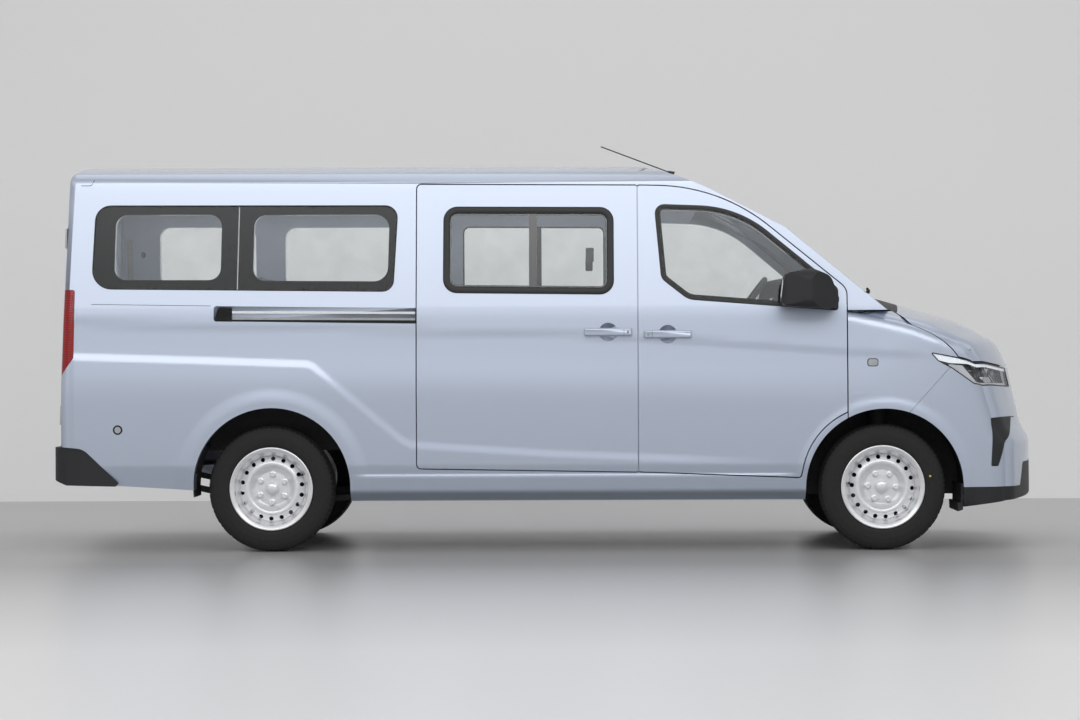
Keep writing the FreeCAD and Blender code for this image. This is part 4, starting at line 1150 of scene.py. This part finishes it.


# Small pieces on the skin: repeaters, sensor caps, seams, painted shade lines along creases, liner flaps, pillar
# brackets, handle seams and locks.
# A thin dark strip along a path, used for seams and for painted shade along creases.
def darkLine(name, path, width, toPoint, material=seamAndShadeBlack, body="body", top=-0.0004, bottom=0.0010):
    left, right = [], []
    for i, here in enumerate(path):
        ahead = path[min(i + 1, len(path) - 1)] - path[max(i - 1, 0)]
        normal = Vector((-ahead.y, ahead.x)).normalized() * width / 2
        left.append(here + normal)
        right.append(here - normal)
    return slab(name, left + right[::-1], [], toPoint, top, bottom, material, body, spacing=0.2)


repeater = {"outline": [(1576, 915, 14), (1631, 915, 14), (1631, 955, 14), (1576, 955, 14)]}
sensorCap = {"x": -2.150, "z": 0.613, "radius": 0.024, "ring": 0.008}
linerFlaps = {
    "front": [(2.028, 0.192), (2.052, 0.200), (2.054, 0.330), (2.045, 0.330), (2.043, 0.236), (2.026, 0.236)],
    "rearCentre": (-1.385, 0.329),
    "rearRings": ((0.3935, (-8, 0, 10, 20, 30)), (0.4015, (30, 20, 10, 0, -8))),    # radius, degrees above level
    "plane": 0.850,
}
pillarBracket = {
    "outline": [(-2352, 1392, 4), (-2322, 1392, 4), (-2322, 1620, 4), (-2352, 1620, 4)],
    "boss": (-2.262, 1.538, 0.013, 0.018),
    "depth": 0.0495,
}
# Dark lines on the skin: the roof corner cap line is a seam; the belt and pillar foot lines are painted shade along
# creases.
seamsAndCreaseShades = {
    "roof_corner_cap": ([(-2345, 1835, 0), (-2294, 1835, 12), (-2281, 1860, 12), (-2279, 1886, 0)], 0.0030),
    "belt": ([(-2283, 1239, 0), (-1687, 1229, 0)], 0.0024),
    "pillar_foot": ([(1484, 1199, 0), (1642, 1198, 0)], 0.0024),
}
for sign, side in ((-1, "right"), (1, "left")):
    onSide, onNose = sideMap(sign), noseMap(sign)
    outline = flatPath(repeater["outline"], step=0.003, fill=0.02)
    slab("repeater_" + side, inset(outline, 0.004), [], onNose, -0.0030, 0.001, greyLens, spacing=0.02)
    bead("repeater_rim_" + side, outline, 0.005, 0.0022, onNose, gasket, sunk=0.001)
    ring = ellipse(sensorCap["x"], sensorCap["z"], sensorCap["radius"])
    bead("sensor_ring_" + side, ring, sensorCap["ring"], 0.0020, onSide, gasket, sunk=0.002)
    centre = ellipse(sensorCap["x"], sensorCap["z"], sensorCap["radius"] - sensorCap["ring"])
    slab("sensor_cap_" + side, centre, [], onSide, -0.0006, 0.002, greyLens, spacing=0.02)
    for name, (corners, width) in seamsAndCreaseShades.items():
        path = filled(cornerPath(mm(corners), closed=False), 0.02, closed=False)
        darkLine("seam_%s_%s" % (name, side), path, width, onNose if name == "pillar_foot" else onSide)
    flapAt = lambda x, z, depth, sign=sign: np.stack([x, np.full(len(x), sign * (linerFlaps["plane"] - depth)), z], 1)
    flap = [Vector(p) for p in linerFlaps["front"]]
    slab("front_liner_flap_" + side, flap, [], flapAt, 0.0, 0.36, chassisBlack, spacing=0.5)
    flapX, flapZ = linerFlaps["rearCentre"]
    arms = [(r, math.radians(turn)) for r, turns in linerFlaps["rearRings"] for turn in turns]
    flap = [Vector((flapX - r * math.cos(turn), flapZ + r * math.sin(turn))) for r, turn in arms]
    slab("rear_liner_flap_" + side, flap, [], flapAt, 0.030, 0.275, chassisBlack, spacing=0.5)
    bracket, depth = flatPath(pillarBracket["outline"], fill=0.02), pillarBracket["depth"]
    slab("pillar_bracket_" + side, bracket, [], onSide, depth, depth + 0.0055, greyMetal)
    slab("pillar_boss_" + side, ellipse(*pillarBracket["boss"]), [], onSide, depth, depth + 0.0085, trimDark,
         spacing=0.05)

# Each handle: x and z of its middle, and how far from it the seam runs.
handles = {
    "front_door_right": (0.588, 1.079, -0.078), "front_door_left": (0.588, 1.079, -0.078),
    "sliding_door": (0.292, 1.091, 0.078),
}
handlePlane, handleHalf = 0.9100, 0.0165
for name, (x, z, seamX) in handles.items():
    sign = 1 if name.endswith("left") else -1
    line = [Vector((x + seamX, z - handleHalf)), Vector((x + seamX, z + handleHalf))]
    flat = lambda a, b, depth, sign=sign: np.stack([a, np.full(len(a), sign * (handlePlane - depth)), b], 1)
    darkLine(name + "_handle_seam", line, 0.0016, flat, body=bodyOf(name), top=-0.0003, bottom=0.002)
    pin = [(0.0, 0.0065), (0.0012, 0.0065), (0.0016, 0.0058), (0.0017, 0.0010)]
    lock = rounded("lock", pin, 24)
    if sign < 0:
        lock.transform(Matrix.Rotation(math.pi, 4, "Z"))
    lock.transform(Matrix.Translation((x + seamX * 1.25, sign * 0.9098, z)))
    meshPiece(name + "_lock", smoothed(lock, 40), (greyMetal,), bodyOf(name))
stage("small pieces")


# Mirrors: a glass in each shell and a rim round it.
mirrorGlass = {
    "outline": [(930, 1236, 22), (1060, 1240, 34), (1060, 1352, 40), (930, 1354, 22)],
    "foot": (1.140, 1.216), "rise": 0.1139,
}
for sign, side in ((-1, "right"), (1, "left")):
    def onMirror(y, z, depth, sign=sign):
        x = mirrorGlass["foot"][0] + (z - mirrorGlass["foot"][1]) * mirrorGlass["rise"] + depth
        return np.stack([x, sign * y, z], 1)
    outline = flatPath(mirrorGlass["outline"], step=0.004)
    slab("mirror_glass_" + side, inset(outline, 0.004), [], onMirror, -0.0022, 0.001, mirrorSilver)
    bead("mirror_rim_" + side, outline, 0.006, 0.0035, onMirror, gasket, sunk=0.001)


# Rear doors: handle, blank plate, plate lamp bar and high brake lamps.
# Each fitting: low y, high y, low z, high z, then the inner and outer corners' radius, in millimetres; its two
# depths, its door and its finish.
rearFittings = {
    "plate_holder": ((85, 625, 905, 1027, 6, 6), -0.006, 0.002, "left", blackPlastic),
    "plate_blank": ((95, 615, 911, 1021, 5, 5), -0.0090, -0.005, "left", plateWhite),
    "plate_lamp_bar": ((200, 510, 1048, 1074, 8, 8), -0.014, 0.002, "left", blackPlastic),
    "handle_cup": ((40, 170, 1036, 1086, 14, 14), -0.0012, 0.002, "left", seamAndShadeBlack),
    "handle_bar": ((32, 178, 1052, 1072, 9, 9), -0.026, -0.012, "left", blackPlastic),
    "high_lamp_left": ((8, 150, 1760, 1780, 5, 8), -0.003, 0.002, "left", ribbedRed),
    "high_lamp_right": ((8, 150, 1760, 1780, 5, 8), -0.003, 0.002, "right", ribbedRed),
}
handlePosts = {"y": (0.046, 0.164), "z": 1.062, "half": 0.008}
for name, ((lowY, highY, lowZ, highZ, inner, outer), top, bottom, side, material) in rearFittings.items():
    sign = 1 if side == "left" else -1
    corners = [(lowY, lowZ, inner), (highY, lowZ, outer), (highY, highZ, outer), (lowY, highZ, inner)]
    outline = [Vector((sign * p.x, p.y)) for p in flatPath(corners, step=0.004, fill=0.03)]
    slab("rear_" + name, outline, [], rearMap, top, bottom, material, "rear_door_%s_body" % side)
for number, y in enumerate(handlePosts["y"]):
    half = handlePosts["half"]
    post = [Vector((y + a * half, handlePosts["z"] + b * half)) for a, b in ((-1, -1), (1, -1), (1, 1), (-1, 1))]
    slab("rear_handle_post_%d" % (number + 1), post, [], rearMap, -0.013, 0.002, blackPlastic,
         "rear_door_left_body")


# Front corners: a trim insert and a seam in each side of the bumper.
fogTrim = {
    "outline": [(2209, 660, 10), (2325, 660, 6), (2313, 612, 0), (2232, 416, 6), (2195, 416, 6)],
    "line": [Vector((2.322, 0.657)), Vector((2.352, 0.655))],
}
for sign, side in ((-1, "right"), (1, "left")):
    onNose = noseMap(sign)
    outline = flatPath(fogTrim["outline"], step=0.004, fill=0.012)
    slab("corner_insert_" + side, outline, [], onNose, -0.0020, 0.006, blackPlastic, spacing=0.012)
    darkLine("corner_line_" + side, fogTrim["line"], 0.005, onNose)
stage("mirrors, rear doors, corner inserts")


# Rows of like pieces: one node tree repeats whatever mesh it is given.
def newTree(name, sockets):
    tree = bpy.data.node_groups.new(name, "GeometryNodeTree")
    for socket, kind in {"Geometry": "Geometry", **sockets, "Material": "Material"}.items():
        tree.interface.new_socket(socket, in_out="INPUT", socket_type="NodeSocket" + kind)
    tree.interface.new_socket("Geometry", in_out="OUTPUT", socket_type="NodeSocketGeometry")
    return tree, tree.nodes.new("NodeGroupInput"), tree.nodes.new("NodeGroupOutput")


def finishTree(tree, entry, leave, copies):
    # Makes the copies real and gives them the material.
    real = tree.nodes.new("GeometryNodeRealizeInstances")
    coloured = tree.nodes.new("GeometryNodeSetMaterial")
    tree.links.new(copies.outputs["Instances"], real.inputs["Geometry"])
    tree.links.new(real.outputs["Geometry"], coloured.inputs["Geometry"])
    tree.links.new(entry.outputs["Material"], coloured.inputs["Material"])
    tree.links.new(coloured.outputs["Geometry"], leave.inputs["Geometry"])
    return tree


def rowTree():
    tree, entry, leave = newTree("row_of_pieces", {"Count": "Int", "Step": "Vector"})
    line = tree.nodes.new("GeometryNodeMeshLine")
    line.mode = "OFFSET"
    copies = tree.nodes.new("GeometryNodeInstanceOnPoints")
    tree.links.new(entry.outputs["Count"], line.inputs["Count"])
    tree.links.new(entry.outputs["Step"], line.inputs["Offset"])
    tree.links.new(line.outputs["Mesh"], copies.inputs["Points"])
    tree.links.new(entry.outputs["Geometry"], copies.inputs["Instance"])
    return finishTree(tree, entry, leave, copies)


def takenFrom(obj):
    # The mesh that an object's modifiers make; the object itself goes.
    depsgraph = bpy.context.evaluated_depsgraph_get()
    result = bpy.data.meshes.new_from_object(obj.evaluated_get(depsgraph))
    bpy.data.objects.remove(obj)
    return result


def applyTree(mesh, tree, values):
    # The mesh that a node tree makes of another mesh.
    blank = bpy.data.objects.new("blank", mesh)
    bpy.context.scene.collection.objects.link(blank)
    modifier = blank.modifiers.new("nodes", "NODES")
    modifier.node_group = tree
    for item in tree.interface.items_tree:
        if item.item_type == "SOCKET" and item.in_out == "INPUT" and item.name in values:
            modifier[item.identifier] = values[item.name]
    bpy.context.view_layer.update()
    return takenFrom(blank)


def roundedBar(size, place, bevel):
    bm = bmesh.new()
    bmesh.ops.create_cube(bm, size=1, matrix=Matrix.Translation(place) @ Matrix.Diagonal((*size, 1)))
    bmesh.ops.bevel(bm, geom=list(bm.edges), offset=bevel, segments=3, affect="EDGES", profile=0.5)
    return unloaded(bm, "bar")


rows = rowTree()
vents = {
    "size": (0.006, 0.150, 0.0035), "count": 6, "step": (0.003, 0, 0.011),
    "spots": {"left": 0.66, "middle": 0.02, "right": -0.66},
}
for spot, y in vents["spots"].items():
    bar = roundedBar(vents["size"], (1.186, y, 1.030), 0.0012)
    slats = applyTree(bar, rows, {"Count": vents["count"], "Step": vents["step"], "Material": greyMetal})
    meshPiece("vent_slats_" + spot, smoothed(slats, 40), (greyMetal,))
    border = roundedBar((0.012, 0.170, 0.084), (1.196, y, 1.058), 0.005)
    meshPiece("vent_frame_" + spot, smoothed(border, 40), (glossBlack,))
dashPieces = {
    # size, middle, bevel and finish
    "instrument_hood": ((0.150, 0.330, 0.075), (1.225, 0.380, 1.178), 0.022, trimDark),
    "centre_screen": ((0.012, 0.270, 0.165), (1.160, -0.020, 1.190), 0.004, glossBlack),
    "centre_screen_foot": ((0.060, 0.080, 0.100), (1.196, -0.020, 1.150), 0.010, trimDark),
}
for name, (size, middle, bevel, material) in dashPieces.items():
    meshPiece(name, smoothed(roundedBar(size, middle, bevel), 40), (material,))

doorTrim = {
    "armrest": ([(540, 880, 30), (1150, 880, 30), (1150, 950, 30), (540, 935, 30)], 0.046, 0.105, trimDark),
    "pocket": ([(540, 470, 30), (1190, 470, 30), (1190, 640, 40), (540, 620, 40)], 0.046, 0.088, trimDark),
    "pull": ([(760, 1000, 12), (960, 1000, 12), (960, 1030, 12), (760, 1030, 12)], 0.046, 0.074, blackPlastic),
}
for sign, side in ((-1, "right"), (1, "left")):
    for name, (corners, top, bottom, material) in doorTrim.items():
        slab("door_%s_%s" % (name, side), flatPath(corners, fill=0.03), [], sideMap(sign), top, bottom, material,
             "front_door_%s_body" % side)
stage("dashboard and door trim")


# Seats: rounded cushions and backs, filled by a pressure simulation, with sewn seams and stitches.
seatGap, seatInset, seatSwell = 0.006, 0.012, 0.010
seatRows = {
    "front": {"x": 0.470, "depth": 0.470, "base": 0.390, "top": 1.262,
              "places": [(0.230, 0.720), (-0.290, 0.130), (-0.720, -0.300)]},
    "second": {"x": -0.360, "depth": 0.450, "base": 0.390, "top": 1.395,
               "places": [(-0.690, -0.235), (-0.225, 0.225), (0.235, 0.690)]},
    "third": {"x": -1.330, "depth": 0.450, "base": 0.538, "top": 1.405,
              "places": [(-0.560, -0.005), (0.005, 0.560)]},
}
cushionHeight, cushionThick, backThick, backLean = 0.330, 0.130, 0.095, 0.20
noseRise, backGap = 0.015, 0.008
sideClear, bolsterShare = 0.004, 0.62
headrest = {"half": 0.135, "start": 0.255, "end": 0.195, "notch": 0.225, "notchWidth": 0.012}
seamWidth, seamDepth = 0.0055, 0.0065
pressureFrames = 14


def softBox(halves, radius, spacing):
    # An even grid over a rounded box, as a mesh about the origin.
    ticks = [np.linspace(-h, h, max(3, int(2 * h / spacing)) + 1) for h in halves]
    index, points, faces = {}, [], []
    def point(i, j, k):
        if (i, j, k) not in index:
            index[i, j, k] = len(points)
            points.append((ticks[0][i], ticks[1][j], ticks[2][k]))
        return index[i, j, k]
    counts = [len(t) - 1 for t in ticks]
    for axis in range(3):
        a, b = (axis + 1) % 3, (axis + 2) % 3
        for end in (0, counts[axis]):
            for u in range(counts[a]):
                for v in range(counts[b]):
                    corners = []
                    for du, dv in ((0, 0), (1, 0), (1, 1), (0, 1)):
                        spot = [0, 0, 0]
                        spot[axis], spot[a], spot[b] = end, u + du, v + dv
                        corners.append(point(*spot))
                    faces.append(tuple(corners if end else corners[::-1]))
    points = np.array(points)
    halves = np.array(halves)
    core = np.clip(points, radius - halves, halves - radius)
    arm = points - core
    points = core + radius * arm / np.linalg.norm(arm, axis=1)[:, None]
    mesh = bpy.data.meshes.new("pad")
    mesh.from_pydata(points.tolist(), [], faces)
    return outwards(mesh)


def meshPoints(mesh):
    points = np.zeros(len(mesh.vertices) * 3)
    mesh.vertices.foreach_get("co", points)
    return points.reshape(-1, 3)


def setPoints(mesh, points):
    mesh.vertices.foreach_set("co", np.asarray(points).ravel())
    mesh.update()


def crowned(points, halves, rise):
    # Every face rises towards its middle.
    share = points / np.array(halves)
    moved = points.copy()
    for axis in range(3):
        a, b = (axis + 1) % 3, (axis + 2) % 3
        dome = np.clip(1 - share[:, a] ** 2, 0, 1) * np.clip(1 - share[:, b] ** 2, 0, 1)
        moved[:, axis] += np.sign(share[:, axis]) * (np.abs(share[:, axis]) > 0.8) * dome * rise
    return moved


def inflated(mesh, cap):
    # The mesh after a short pressure simulation, each point moved no further than cap.
    before = meshPoints(mesh)
    obj = bpy.data.objects.new("pad_in_simulation", mesh)
    bpy.context.scene.collection.objects.link(obj)
    cloth = obj.modifiers.new("Cloth", "CLOTH")
    cloth.settings.quality = 4
    cloth.settings.use_pressure = True
    cloth.settings.uniform_pressure_force = 4
    cloth.settings.effector_weights.gravity = 0
    cloth.collision_settings.use_collision = False
    cloth.collision_settings.use_self_collision = False
    cloth.point_cache.frame_start, cloth.point_cache.frame_end = 1, pressureFrames
    for frameNumber in range(1, pressureFrames + 1):
        bpy.context.scene.frame_set(frameNumber)
    result = takenFrom(obj)
    bpy.context.scene.frame_set(1)
    moved = meshPoints(result) - before
    length = np.linalg.norm(moved, axis=1)[:, None]
    setPoints(result, before + moved * np.minimum(1, cap / np.maximum(length, 1e-9)))
    return result


def subdivided(mesh):
    obj = bpy.data.objects.new("pad_subdivided", mesh)
    bpy.context.scene.collection.objects.link(obj)
    modifier = obj.modifiers.new("Subdivision", "SUBSURF")
    modifier.levels = modifier.render_levels = 1
    return takenFrom(obj)


def pad(name, halves, seamPlanes, shape):
    # One padded piece; shape moves points from about the origin to their place.
    mesh = softBox(halves, min(0.034, min(halves) * 0.8), 0.013)
    setPoints(mesh, crowned(meshPoints(mesh), halves, 0.004))
    mesh = inflated(mesh, seatSwell)
    mesh = subdivided(mesh)
    points = meshPoints(mesh)
    normals = np.zeros(len(mesh.vertices) * 3)
    mesh.vertices.foreach_get("normal", normals)
    normals = normals.reshape(-1, 3)
    for axis, value in seamPlanes:
        groove = np.exp(-((points[:, axis] - value) / seamWidth) ** 2) * (np.abs(normals[:, axis]) < 0.75)
        points = points - normals * (groove * seamDepth)[:, None]
    setPoints(mesh, shape(points))
    mesh.polygons.foreach_set("use_smooth", [True] * len(mesh.polygons))
    obj = meshPiece(name, mesh, (seatFabric,), "body", ["seats"])
    return obj


def headShaped(points, halfHeight, halfWidth):
    # Above the shoulders a back narrows to its headrest.
    share = smoothStep(halfHeight - headrest["start"], halfHeight - headrest["end"], points[:, 2])
    narrow = headrest["half"] / halfWidth
    moved = points.copy()
    moved[:, 1] *= 1 + (narrow - 1) * share
    notch = np.exp(-((points[:, 2] - halfHeight + headrest["notch"]) / headrest["notchWidth"]) ** 2)
    moved[:, 0] *= 1 - 0.25 * notch
    return moved


for rowName, row in seatRows.items():
    low = row["base"] + cushionHeight - cushionThick
    for number, (y0, y1) in enumerate(row["places"]):
        middle, halfWidth = (y0 + y1) / 2, (y1 - y0) / 2 - seatGap
        halves = (row["depth"] / 2 - seatInset, halfWidth - sideClear, cushionThick / 2 - seatInset)
        centre = np.array([row["x"] + row["depth"] / 2, middle, low + cushionThick / 2])
        def cushionPlace(points):
            moved = points + centre
            moved[:, 2] += noseRise * (points[:, 0] / row["depth"] + 0.5)
            return moved
        bolster = halfWidth * bolsterShare
        planes = [(1, bolster), (1, -bolster), (0, 0.06), (2, halves[2] - 0.022)]
        pad("seat_%s_cushion_%d" % (rowName, number + 1), halves, planes, cushionPlace)
        height = row["top"] - low
        backHalves = (backThick / 2 - seatInset * 0.7, halfWidth - sideClear, height / 2 - seatInset)
        backCentre = np.array([row["x"] - backGap - backThick / 2, middle, low + height / 2])
        def backPlace(points):
            moved = headShaped(points, backHalves[2], backHalves[1]) + backCentre
            moved[:, 0] -= backLean * (points[:, 2] + height / 2)
            return moved
        planes = [(1, bolster), (1, -bolster), (2, -0.12), (2, 0.02)]
        pad("seat_%s_back_%d" % (rowName, number + 1), backHalves, planes, backPlace)
    stage(rowName + " seats")


# Stitches: a second node tree sets short threads along the seams' paths.
def stitchTree():
    sizes = {"Spacing": "Float", "Length": "Float", "Radius": "Float"}
    tree, entry, leave = newTree("stitches_on_path", sizes)
    curve = tree.nodes.new("GeometryNodeMeshToCurve")
    spots = tree.nodes.new("GeometryNodeCurveToPoints")
    spots.mode = "LENGTH"
    thread = tree.nodes.new("GeometryNodeMeshCylinder")
    thread.inputs["Vertices"].default_value = 6
    copies = tree.nodes.new("GeometryNodeInstanceOnPoints")
    tree.links.new(entry.outputs["Geometry"], curve.inputs["Mesh"])
    tree.links.new(curve.outputs["Curve"], spots.inputs["Curve"])
    tree.links.new(entry.outputs["Spacing"], spots.inputs["Length"])
    tree.links.new(entry.outputs["Length"], thread.inputs["Depth"])
    tree.links.new(entry.outputs["Radius"], thread.inputs["Radius"])
    tree.links.new(spots.outputs["Points"], copies.inputs["Points"])
    tree.links.new(spots.outputs["Rotation"], copies.inputs["Rotation"])
    tree.links.new(thread.outputs["Mesh"], copies.inputs["Instance"])
    return finishTree(tree, entry, leave, copies)


stitches = {"Spacing": 0.011, "Length": 0.006, "Radius": 0.0009}
seamOffset = 0.010                # stitches run this far beside a seam
for rowName, row in seatRows.items():
    points, edges = [], []
    for number, (y0, y1) in enumerate(row["places"]):
        bolster = ((y1 - y0) / 2 - seatGap) * bolsterShare
        cushion = bpy.data.objects["seat_%s_cushion_%d" % (rowName, number + 1)]
        for offset in (-bolster - seamOffset, bolster + seamOffset):
            y = (y0 + y1) / 2 + offset
            last = None
            for x in np.arange(row["x"] + 0.05, row["x"] + row["depth"] - 0.05, 0.02):
                hit, spot, normal, face = cushion.ray_cast((x, y, 2.0), (0, 0, -1))
                if not hit:
                    continue
                points.append(spot[:])
                if last is not None:
                    edges.append((last, len(points) - 1))
                last = len(points) - 1
    path = bpy.data.meshes.new("stitch_path")
    path.from_pydata(points, edges, [])
    threads = applyTree(path, stitchTree(), {**stitches, "Material": threadGrey})
    meshPiece("stitches_" + rowName, smoothed(threads, 40), (threadGrey,))
stage("stitches")


# A yellow paint dot on the front right tyre.
dot = {"radius": 0.240, "turn": math.radians(13), "size": 0.0052}
mark = rounded("mark", [(0.0, dot["size"]), (0.0006, dot["size"]), (0.0009, 0.0005)], 24)
mark.transform(Matrix.Rotation(math.pi, 4, "Z"))
mark.transform(Matrix.Translation((axleX["front"] + dot["radius"] * math.cos(dot["turn"]), -wheelY - 0.0962,
                                   wheelZ + dot["radius"] * math.sin(dot["turn"]))))
meshPiece("tyre_paint_dot", smoothed(mark, 40), (yellowMark,), "wheel_front_right_body")
stage("finishing touches")


# Stage, lamps and camera.
def stageMesh(name, points, faces, material):
    mesh = bpy.data.meshes.new(name)
    mesh.from_pydata(points, [], faces)
    obj = bpy.data.objects.new(name, mesh)
    bpy.context.scene.collection.objects.link(obj)
    setMaterial(obj, material)
    return obj


def paintedShadeBand(name, axis, scale, offset, stops, roughness):
    # A matt studio surface whose grey changes along one axis, painting light and shade onto it.
    material, tree, shader = newMaterial(name)
    split = tree.nodes.new("ShaderNodeSeparateXYZ")
    tree.links.new(objectCoordinates(tree), split.inputs["Vector"])
    share = tree.nodes.new("ShaderNodeMath")
    share.operation = "MULTIPLY_ADD"
    share.inputs[1].default_value = scale
    share.inputs[2].default_value = offset
    tree.links.new(split.outputs[axis], share.inputs[0])
    tone = ramp(tree, share.outputs["Value"], [(place, (grey, grey, grey)) for place, grey in stops])
    tree.links.new(tone, shader.inputs["Base Color"])
    shader.inputs["Roughness"].default_value = roughness
    return material


# Painted light and shade: the floor is paler towards the camera and darker near the van, as painted shade; the wall
# is paler towards its foot, as painted light falloff.
floorShadeStops = [(0.0, 0.85), (0.42, 0.85), (0.62, 0.66), (0.82, 0.40), (1.0, 0.46)]
floorMaterial = paintedShadeBand("studio_floor", "Y", 0.1, 1.0, floorShadeStops, 0.32)
wallMaterial = paintedShadeBand("studio_wall", "Z", 0.25, 0.0, [(0.0, 0.92), (0.5, 0.86), (1.0, 0.76)], 0.9)
wallTree = wallMaterial.node_tree
wallShader, wallOutput = wallTree.nodes["Principled BSDF"], wallTree.nodes["Material Output"]
behind = wallTree.nodes.new("ShaderNodeNewGeometry")
unseen = wallTree.nodes.new("ShaderNodeBsdfTransparent")
oneSided = wallTree.nodes.new("ShaderNodeMixShader")
wallTree.links.new(behind.outputs["Backfacing"], oneSided.inputs["Fac"])
wallTree.links.new(wallShader.outputs["BSDF"], oneSided.inputs[1])
wallTree.links.new(unseen.outputs["BSDF"], oneSided.inputs[2])
wallTree.links.new(oneSided.outputs["Shader"], wallOutput.inputs["Surface"])    # seen from its front only
farY, nearY, sideX = 4.35, -30.0, 30.0
floorCorners = [(-sideX, nearY, 0), (sideX, nearY, 0), (sideX, -nearY, 0), (-sideX, -nearY, 0)]
stageMesh("floor", floorCorners, [(0, 1, 2, 3)], floorMaterial)
stageMesh("wall", [(-sideX, farY, 0), (sideX, farY, 0), (sideX, farY, 14), (-sideX, farY, 14)], [(0, 1, 2, 3)],
          wallMaterial)


def areaLamp(name, place, target, width, height, watts):
    data = bpy.data.lights.new(name, "AREA")
    data.shape = "RECTANGLE"
    data.size = width
    data.size_y = height
    data.energy = watts
    lamp = bpy.data.objects.new(name, data)
    bpy.context.scene.collection.objects.link(lamp)
    lamp.location = place
    lamp.rotation_euler = (Vector(target) - Vector(place)).to_track_quat("-Z", "Y").to_euler()
    return lamp


areaLamp("overhead", (0, 0.4, 6.5), (0, 0.2, 0), 10.0, 5.0, 110)
areaLamp("front_fill", (0, -12.0, 7.2), (0, 0, 0.9), 16.0, 5.0, 430)
cabinLamp = areaLamp("cabin_fill", (-0.9, 0, 1.79), (-0.9, 0.01, 0), 3.0, 1.0, 18)
cabinLamp.visible_camera = False
cabinLamp.visible_glossy = False

# The sky's brightness by height: pale low down, dark above it, bright overhead.
skyStops = [
    (0.44, 0.55), (0.505, 0.80), (0.56, 0.85), (0.60, 0.20), (0.656, 0.12), (0.672, 1.0), (0.80, 1.0),
    (0.90, 0.35), (1.0, 0.30),
]
world = bpy.data.worlds.new("studio")
bpy.context.scene.world = world
world.use_nodes = True
sky = world.node_tree
direction = sky.nodes.new("ShaderNodeTexCoord")
split = sky.nodes.new("ShaderNodeSeparateXYZ")
sky.links.new(direction.outputs["Generated"], split.inputs["Vector"])
height = sky.nodes.new("ShaderNodeMath")
height.operation = "MULTIPLY_ADD"
height.inputs[1].default_value = 0.5
height.inputs[2].default_value = 0.5
sky.links.new(split.outputs["Z"], height.inputs[0])
skyColour = ramp(sky, height.outputs["Value"], [(place, (value, value, value)) for place, value in skyStops])
sky.links.new(skyColour, sky.nodes["Background"].inputs["Color"])
sky.nodes["Background"].inputs["Strength"].default_value = 1.0

cameraData = bpy.data.cameras.new("camera")
cameraData.lens = 100
cameraData.sensor_width = 36
camera = bpy.data.objects.new("camera", cameraData)
bpy.context.scene.collection.objects.link(camera)
camera.location = (0.166, -15.79, 0.993)
pitchDown, yawLeft, rollRight = math.radians(0.153), math.radians(0.82), 0.00409
turn = Matrix.Rotation(yawLeft, 4, "Z") @ Matrix.Rotation(math.pi / 2 - pitchDown, 4, "X")
camera.rotation_euler = (turn @ Matrix.Rotation(-rollRight, 4, "Z")).to_euler()
bpy.context.scene.camera = camera
bpy.context.scene.view_settings.view_transform = "Standard"

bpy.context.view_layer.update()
stage("bounds written")
